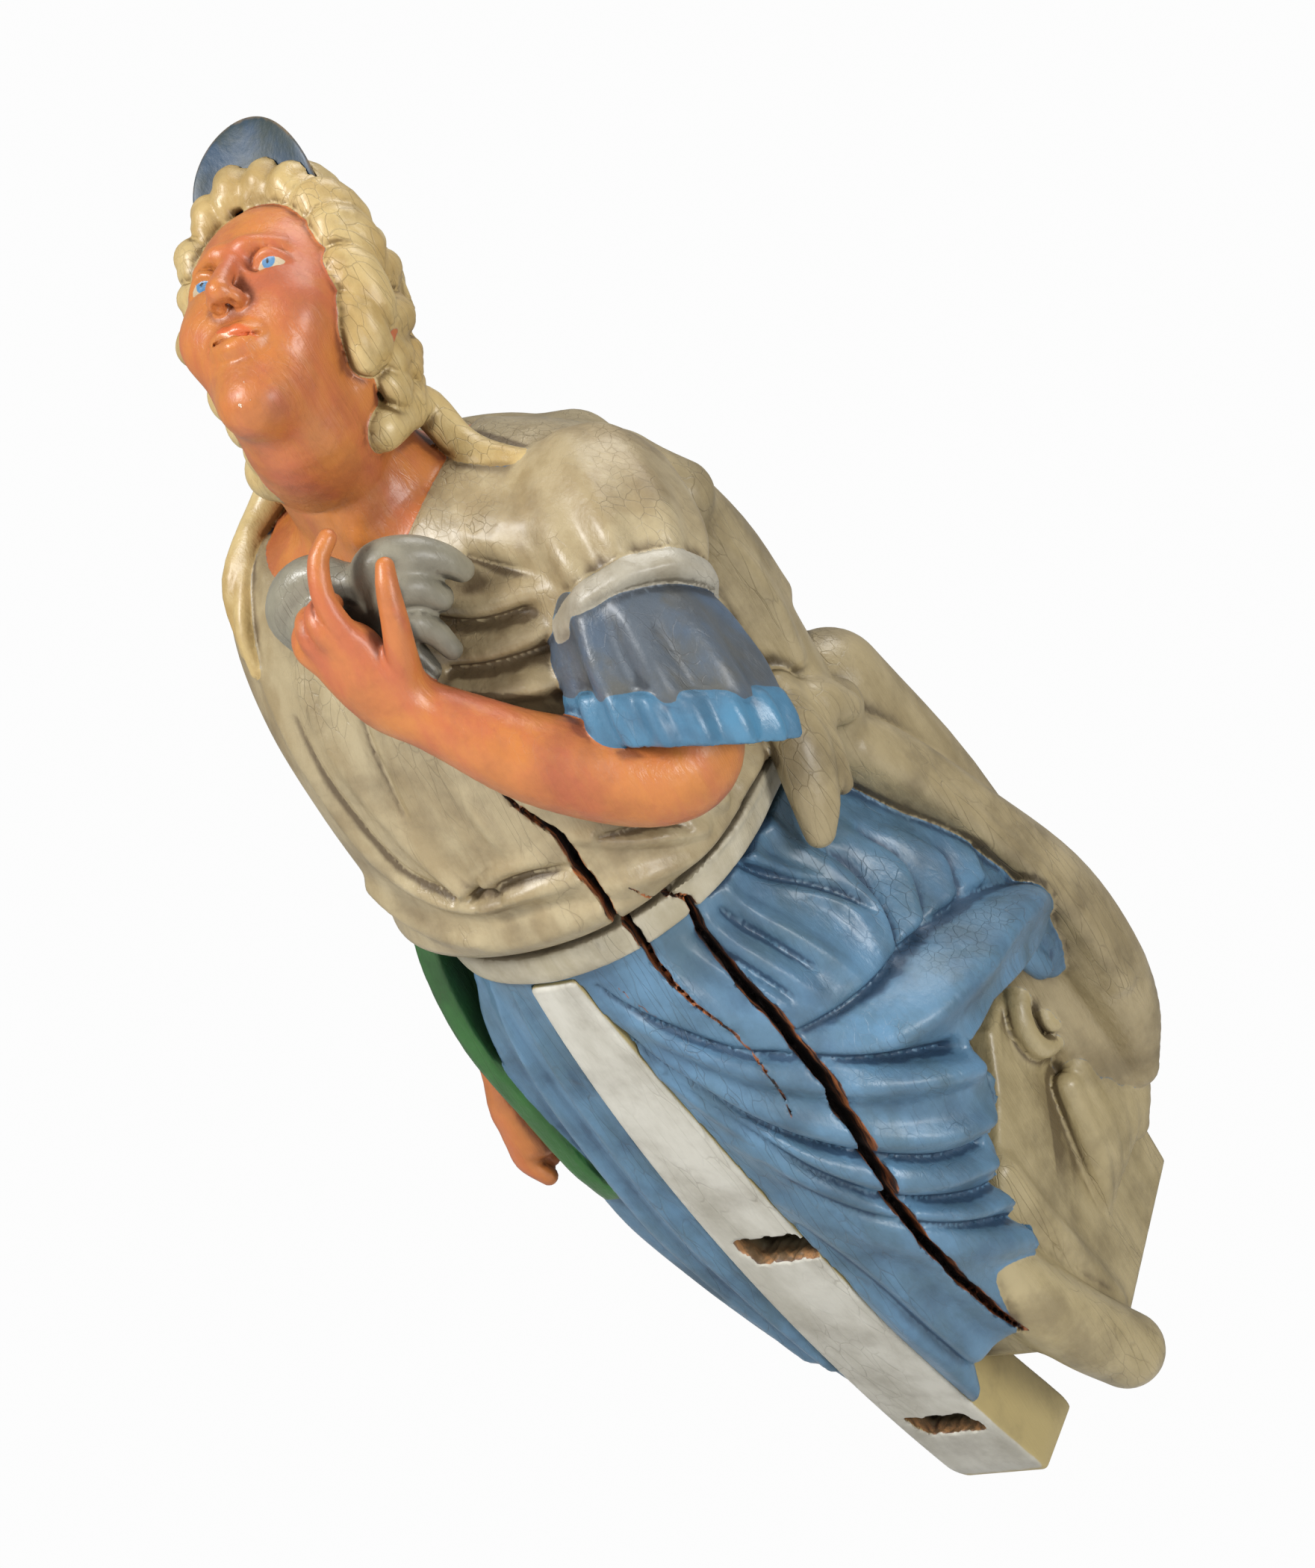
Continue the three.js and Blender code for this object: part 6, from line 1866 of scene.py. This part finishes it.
@dataclass(frozen=True)
class TimberPaint:
    """Worn off-white paint on the front timber, with raw wood in its bolt holes that darkens with depth as
    painted shade.
    """
    front: str = "CFCCC0"
    drift: str = "B4B0A2"
    side: str = "B6A470"
    grime_and_shade_tint: str = "5B4E38"

    def build(self, wear: Wear) -> bpy.types.Material:
        """Makes the material.

        Args:
            wear: The shared ageing effects.

        Returns:
            The material.
        """
        material = bpy.data.materials.new("worn_white_paint")
        material.use_nodes = True
        graph = Graph(material.node_tree)
        shader = material.node_tree.nodes["Principled BSDF"]
        coords = graph.add("ShaderNodeTexCoord").outputs["Object"]
        grain = graph.stretched(coords, (1.0, 1.0, 0.08))
        proud, hollow = graph.stored("proud"), graph.stored("hollow")
        cloud = graph.band(graph.noise(graph.stretched(coords, (1.0, 1.0, 0.3)), 16.0, 6.0, 0.65), 0.35,
                           0.7)
        colour = graph.mix(cloud, linear(self.front), linear(self.drift))
        side = graph.band(graph.math("ADD", graph.stored("below_face"), graph.math("MULTIPLY", cloud, 1.5)),
                          2.5, 5.0)
        colour = graph.mix(side, colour, linear(self.side))
        grime_and_shade = wear.place(graph, wear.grime_and_shade, {"Vector": coords, "Hollow": hollow, "Amount": 0.6}).outputs[0]
        # Grime and painted shade: darker where the timber's surface is hollow.
        colour = graph.mix(grime_and_shade, colour, linear(self.grime_and_shade_tint))
        flakes = wear.place(graph, wear.spots,
                            {"Vector": coords, "Scale": 70.0, "Amount": 0.0, "Proud": proud})
        checks = wear.place(graph, wear.checks, {"Vector": grain, "Scale": 80.0, "Width": 0.04}).outputs[0]
        colour = graph.mix(graph.math("MULTIPLY", checks, 0.25), colour, linear(self.grime_and_shade_tint))
        colour = graph.mix(graph.math("MULTIPLY", flakes.outputs["Core"], 0.8), colour, linear(BARE_WOOD))
        bare = graph.band(graph.stored("in_hole"), -0.5, 0.8)
        # Raw wood in the bolt holes darkens to near black with depth: painted shade.
        deep = graph.band(graph.stored("hole_depth"), 2.0, 26.0)
        torn = graph.mix(graph.band(graph.noise(grain, 90.0, 5.0, 0.7), 0.4, 0.65), linear("4A2A16"),
                         linear("A87345"))
        torn = graph.mix(deep, torn, linear(DARK_WOOD_AND_DEEP_SHADE))
        colour = graph.mix(bare, colour, torn)
        graph.put(shader.inputs["Base Color"], colour)
        rough = graph.math("ADD", 0.45, graph.math("MULTIPLY", cloud, 0.15))
        graph.put(shader.inputs["Roughness"],
                  graph.math("ADD", rough, graph.math("MULTIPLY", bare, 0.35), clamp=True))
        brush = wear.place(graph, wear.brush, {"Vector": coords, "Grain": grain, "Lumps": 0.7}).outputs[0]
        height = graph.math("SUBTRACT", brush, graph.math("MULTIPLY", checks, 1.0))
        bump = graph.add("ShaderNodeBump", {"Strength": 0.5, "Distance": 0.001, "Height": height})
        graph.put(shader.inputs["Normal"], bump.outputs[0])
        shader.inputs["Coat Weight"].default_value = 0.08
        shader.inputs["Coat Roughness"].default_value = 0.3
        return material


@dataclass(frozen=True)
class CrestPaint:
    """Slate-blue gloss paint, rubbed brown at the rim."""
    blue: str = "1B3850"
    slate: str = "22302F"
    rim: str = "6A5A44"

    def build(self, wear: Wear) -> bpy.types.Material:
        """Makes the material.

        Args:
            wear: The shared ageing effects.

        Returns:
            The material.
        """
        material = bpy.data.materials.new("slate_blue_paint")
        material.use_nodes = True
        graph = Graph(material.node_tree)
        shader = material.node_tree.nodes["Principled BSDF"]
        coords = graph.add("ShaderNodeTexCoord").outputs["Object"]
        grain = graph.stretched(coords, (1.0, 1.0, 0.15))
        cloud = graph.band(graph.noise(grain, 18.0, 5.0, 0.6), 0.38, 0.62)
        colour = graph.mix(cloud, linear(self.blue), linear(self.slate))
        rim = graph.math("ADD", graph.stored("rim"),
                         graph.math("MULTIPLY", graph.noise(coords, 60.0, 4.0), 0.12))
        worn = graph.band(rim, 1.02, 1.08)
        colour = graph.mix(worn, colour, linear(self.rim))
        flakes = wear.place(graph, wear.spots,
                            {"Vector": coords, "Scale": 80.0, "Amount": 0.01, "Proud": 0.0})
        colour = graph.mix(flakes.outputs["Mask"], colour, linear("7E5B3B"))
        graph.put(shader.inputs["Base Color"], colour)
        graph.put(shader.inputs["Roughness"], graph.math("ADD", 0.48, graph.math("MULTIPLY", worn, 0.3)))
        brush = wear.place(graph, wear.brush, {"Vector": coords, "Grain": grain, "Lumps": 0.6}).outputs[0]
        bump = graph.add("ShaderNodeBump", {"Strength": 0.5, "Distance": 0.0009, "Height": brush})
        graph.put(shader.inputs["Normal"], bump.outputs[0])
        shader.inputs["Coat Weight"].default_value = 0.05
        shader.inputs["Coat Roughness"].default_value = 0.25
        return material


# ---------------------------------------------------------------- the pieces
def surface_marks(mesher: "Mesher", p: Points, normals: Points) -> tuple[Values, Values]:
    """How hollow and how proud the surface is at each point.

    Args:
        mesher: Mesher whose field the surface belongs to.
        p: Points on the surface.
        normals: Outward normals there.

    Returns:
        Hollow and proud, each from 0 to 1.
    """
    reach = 11.0
    outside = mesher.values(p + normals * reach)
    inside = mesher.values(p - normals * reach)
    bend = (outside + inside) / reach
    hollow = np.clip(-bend * 1.6, 0.0, 1.0)
    return hollow, np.clip(bend * 2.0, 0.0, 1.0) * (inside < -3.0) * (outside > 8.0)


def settled(mesher: "Mesher", p: Points, step: float = 0.8) -> Points:
    """Moves points onto the true surface along the slope of the field."""
    slopes = []
    here = mesher.values(p)
    for axis in range(3):
        shift = np.zeros(3)
        shift[axis] = step
        slopes.append((mesher.values(p + shift) - here) / step)
    slope = np.stack(slopes, axis=1)
    size = (slope * slope).sum(axis=1) + 1e-6
    shift = slope * (here / np.maximum(size, 0.3))[:, None]
    length = np.linalg.norm(shift, axis=1)
    return p - shift * np.minimum(1.0, 0.9 / np.maximum(length, 1e-6))[:, None]


@dataclass
class Carving:
    """The carved figure, one solid piece of painted wood."""
    cell: float = 4.6
    levels: int = 2
    triangles: int = 196_000
    low: tuple[float, float, float] = (-330.0, -340.0, -920.0)
    high: tuple[float, float, float] = (345.0, 300.0, 800.0)
    lens_centre: tuple[float, float, float] = (15.0, 60.0, 560.0)

    def build(self, wear: Wear) -> bpy.types.Object:
        """Meshes, marks and paints the carving.

        Args:
            wear: The shared ageing effects.

        Returns:
            The piece.
        """
        clay = Sculpture()
        cell = self.cell * 1.0
        mesher = Mesher(clay.field, self.low, self.high, cell, self.levels,
                        Lens(self.lens_centre, 1.7, 190.0, 330.0))
        verts, quads = mesher.build()
        LOG.info("carving surface: %d points", len(verts))

        mesh = lightened(plain_mesh("carving", verts, quads), self.triangles)
        points = settled(mesher, corners_of(mesh))
        points[:, 1] = np.where(np.abs(points[:, 1] - BACK_F) < 1.2, BACK_F,
                                np.maximum(points[:, 1], BACK_F))
        mesh.vertices.foreach_set("co", points.astype(np.float32).ravel())
        mesh.update()
        self.mark(mesh, clay, mesher, points)
        mesh.vertices.foreach_set("co", to_row_frame(points).astype(np.float32).ravel())
        mesh.update()
        return finish_piece("painted_carving", mesh, CarvingPaint().build(wear), "figure")

    def mark(self, mesh: bpy.types.Mesh, clay: "Sculpture", mesher: "Mesher", points: Points) -> None:
        """Stores which coat of paint, hollow, edge, split and eye each point has.

        Args:
            mesh: The carving's mesh, still in the body frame.
            clay: The fields it was made from.
            mesher: The mesher, which takes points block by block.
            points: Its vertices.
        """
        hollow, proud = surface_marks(mesher, points, normals_of(mesh))
        add_values(mesh, "hollow", hollow)
        add_values(mesh, "proud", proud)
        for name, values in clay.marks(points).items():
            add_values(mesh, name, values)


@dataclass
class FrontTimber:
    """Timber let into the front, with two bolt holes and a squared tang."""
    cell: float = 3.2

    def build(self, wear: Wear) -> bpy.types.Object:
        """Meshes, marks and paints the timber.

        Args:
            wear: The shared ageing effects.

        Returns:
            The piece.
        """
        bar = Timber()
        holes = [BoltHole(UPPER_HOLE_U, 1.0), BoltHole(LOWER_HOLE_U, 2.3, 2.0)]

        def solid(p: Points) -> Values:
            """Field of the bar less its holes."""
            d = bar.field(p)
            for hole in holes:
                d = np.maximum(d, -hole.field(p))
            return d

        mesher = Mesher(solid, (-120.0, -160.0, -985.0), (100.0, 220.0, -40.0), self.cell, 2)
        verts, quads = mesher.build()
        mesh = lightened(plain_mesh("timber", verts, quads), 60_000)
        points = settled(mesher, corners_of(mesh))
        mesh.vertices.foreach_set("co", points.astype(np.float32).ravel())
        mesh.update()
        hollow, proud = surface_marks(mesher, points, normals_of(mesh))
        inside = np.maximum(*(-hole.field(points) for hole in holes))
        depth = front_line(points[:, 2]) + 3.0 - points[:, 1]
        add_values(mesh, "hollow", hollow)
        add_values(mesh, "proud", proud)
        add_values(mesh, "in_hole", np.minimum(inside + 0.5, 6.0) * (depth > 1.0) - 3.0 * (depth <= 1.0))
        add_values(mesh, "hole_depth", depth)
        add_values(mesh, "below_face", depth)
        mesh.vertices.foreach_set("co", to_row_frame(points).astype(np.float32).ravel())
        mesh.update()
        return finish_piece("white_front_timber", mesh, TimberPaint().build(wear), "front_timber")


@dataclass
class Diadem:
    """Scooped crest on the hair: a flattened ball bent to a shell by a node tree."""
    half: float = CREST_HALF
    tall: float = CREST_TALL
    thick: float = CREST_THICK
    scoop: float = CREST_SCOOP
    rounds: int = 96

    def tree(self, material: bpy.types.Material) -> bpy.types.NodeTree:
        """The node tree that bends a ball into the shell.

        Args:
            material: Its paint.

        Returns:
            The tree, with inputs for the sizes.
        """
        tree = bpy.data.node_groups.new("scooped_shell", "GeometryNodeTree")
        tree.interface.new_socket("Geometry", in_out="OUTPUT", socket_type="NodeSocketGeometry")
        for name in ("Half Width", "Height", "Thickness", "Scoop"):
            tree.interface.new_socket(name, in_out="INPUT", socket_type="NodeSocketFloat")
        graph = Graph(tree)
        given = tree.nodes.new("NodeGroupInput")
        half, tall, thick, scoop = (given.outputs[name] for name in ("Half Width", "Height", "Thickness",
                                                                     "Scoop"))
        ball = graph.add("GeometryNodeMeshUVSphere",
                         {"Segments": self.rounds, "Rings": self.rounds // 2, "Radius": 1.0})
        place = graph.add("ShaderNodeSeparateXYZ", {0: graph.add("GeometryNodeInputPosition").outputs[0]})
        across, skin, rise = place.outputs[0], place.outputs[1], place.outputs[2]
        flat = graph.math("SUBTRACT", 1.0, graph.math("MULTIPLY", across, across))
        climb = graph.math("ADD", 0.35, graph.math("MULTIPLY", rise, 0.65))
        bowl = graph.math("MULTIPLY", graph.math("MULTIPLY", flat, climb),
                          graph.math("MULTIPLY", scoop, -1.0))
        out = graph.math("ADD", bowl, graph.math("MULTIPLY", skin, graph.math("MULTIPLY", thick, 0.5)))
        bent = graph.add("ShaderNodeCombineXYZ", {0: graph.math("MULTIPLY", across, half), 1: out,
                                                  2: graph.math("MULTIPLY", rise, tall)})
        moved = graph.add("GeometryNodeSetPosition",
                          {"Geometry": ball.outputs["Mesh"], "Position": bent.outputs[0]})
        real = graph.add("GeometryNodeRealizeInstances", {0: moved.outputs[0]})
        painted = graph.add("GeometryNodeSetMaterial", {"Geometry": real.outputs[0], "Material": material})
        graph.put(tree.nodes.new("NodeGroupOutput").inputs[0], painted.outputs[0])
        return tree

    def build(self, wear: Wear) -> bpy.types.Object:
        """Evaluates the node tree, places the crest on the head and paints it.

        Args:
            wear: The shared ageing effects.

        Returns:
            The piece.
        """
        material = CrestPaint().build(wear)
        tree = self.tree(material)
        holder = bpy.data.objects.new("crest_maker", bpy.data.meshes.new("crest_maker"))
        bpy.context.scene.collection.objects.link(holder)
        maker = holder.modifiers.new("shell", "NODES")
        maker.node_group = tree
        sizes = {"Half Width": self.half, "Height": self.tall, "Thickness": self.thick, "Scoop": self.scoop}
        for item in tree.interface.items_tree:
            if item.in_out == "INPUT":
                maker[item.identifier] = sizes[item.name]
        made = holder.evaluated_get(bpy.context.evaluated_depsgraph_get())
        mesh = bpy.data.meshes.new_from_object(made)
        bpy.data.objects.remove(holder)
        local = corners_of(mesh)
        rim = np.hypot(local[:, 0] / self.half, local[:, 2] / self.tall)
        add_values(mesh, "rim", rim)
        points = crest_place(local)
        mesh.vertices.foreach_set("co", to_row_frame(points).astype(np.float32).ravel())
        mesh.update()
        centre = corners_of(mesh).mean(axis=0)
        facing = ((corners_of(mesh) - centre) * normals_of(mesh)).sum()
        if facing < 0:
            mesh.flip_normals()
        return finish_piece("scooped_crest", mesh, material, "diadem")


# ---------------------------------------------------------------- floor, light and camera
@dataclass(frozen=True)
class Studio:
    """Pale floor, soft lights and the viewing angle."""
    floor_z: float = -0.92
    azimuth: float = 33.8
    elevation: float = -9.0
    roll: float = -5.0
    distance: float = 4.33
    target: tuple[float, float, float] = (0.055, -0.41, 0.029)
    lens: float = 100.0

    def build(self) -> None:
        """Makes everything that isn't the object."""
        self.build_floor()
        self.build_lights()
        self.build_camera()

    def build_floor(self) -> None:
        """A plain pale floor under the figurehead."""
        size = 2.4
        verts = np.array([[-size, -size, 0], [size, -size, 0], [size, size, 0], [-size, size, 0]], float)
        verts[:, 2] = self.floor_z
        mesh = plain_mesh("floor", verts, np.array([[0, 1, 2, 3]]))
        material = bpy.data.materials.new("pale_floor")
        material.use_nodes = True
        shader = material.node_tree.nodes["Principled BSDF"]
        shader.inputs["Base Color"].default_value = (0.86, 0.86, 0.86, 1.0)
        shader.inputs["Roughness"].default_value = 0.9
        mesh.materials.append(material)
        floor = bpy.data.objects.new("floor", mesh)
        bpy.context.scene.collection.objects.link(floor)

    def build_lights(self) -> None:
        """Soft boxes and a pale surround."""
        world = bpy.data.worlds.new("surround")
        world.use_nodes = True
        graph = Graph(world.node_tree)
        background = world.node_tree.nodes["Background"]
        seen = graph.add("ShaderNodeLightPath").outputs["Is Camera Ray"]
        graph.put(background.inputs["Strength"],
                  graph.math("ADD", 0.30, graph.math("MULTIPLY", seen, 0.68)))
        background.inputs["Color"].default_value = (1.0, 1.0, 1.0, 1.0)
        bpy.context.scene.view_settings.view_transform = "Standard"
        bpy.context.scene.world = world
        self.soft_box("key", (-0.9, -4.3, 0.9), 0.9, 145.0)
        self.soft_box("side", (4.0, -2.0, -0.2), 1.2, 100.0)
        self.soft_box("top", (0.9, -0.6, 3.0), 1.6, 48.0)

    def soft_box(self, name: str, place: tuple[float, float, float], size: float, power: float) -> None:
        """One square light turned to the figure.

        Args:
            name: Its name.
            place: Where it stands.
            size: Side of the square.
            power: Its watts.
        """
        light = bpy.data.lights.new(name, "AREA")
        light.size = size
        light.energy = power
        lamp = bpy.data.objects.new(name, light)
        lamp.location = place
        lamp.rotation_euler = (Vector(self.target) - Vector(place)).to_track_quat("-Z", "Y").to_euler()
        bpy.context.scene.collection.objects.link(lamp)

    def build_camera(self) -> None:
        """The camera, turned by azimuth, elevation and roll round the target."""
        camera = bpy.data.cameras.new("camera")
        camera.lens = self.lens
        camera.sensor_width = 36.0
        holder = bpy.data.objects.new("camera", camera)
        turn = (Matrix.Rotation(math.radians(self.azimuth), 4, "Z")
                @ Matrix.Rotation(math.radians(90.0 - self.elevation), 4, "X")
                @ Matrix.Rotation(math.radians(self.roll), 4, "Z"))
        back = turn.to_3x3() @ Vector((0.0, 0.0, 1.0))
        holder.matrix_world = Matrix.Translation(Vector(self.target) + back * self.distance) @ turn
        bpy.context.scene.collection.objects.link(holder)
        bpy.context.scene.camera = holder


def main() -> None:
    logging.basicConfig(level=logging.INFO, format="%(name)s: %(message)s")
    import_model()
    wear = Wear()
    for piece in (Carving(), FrontTimber(), Diadem()):
        piece.build(wear)
    Studio().build()


if __name__ == "__main__":
    main()
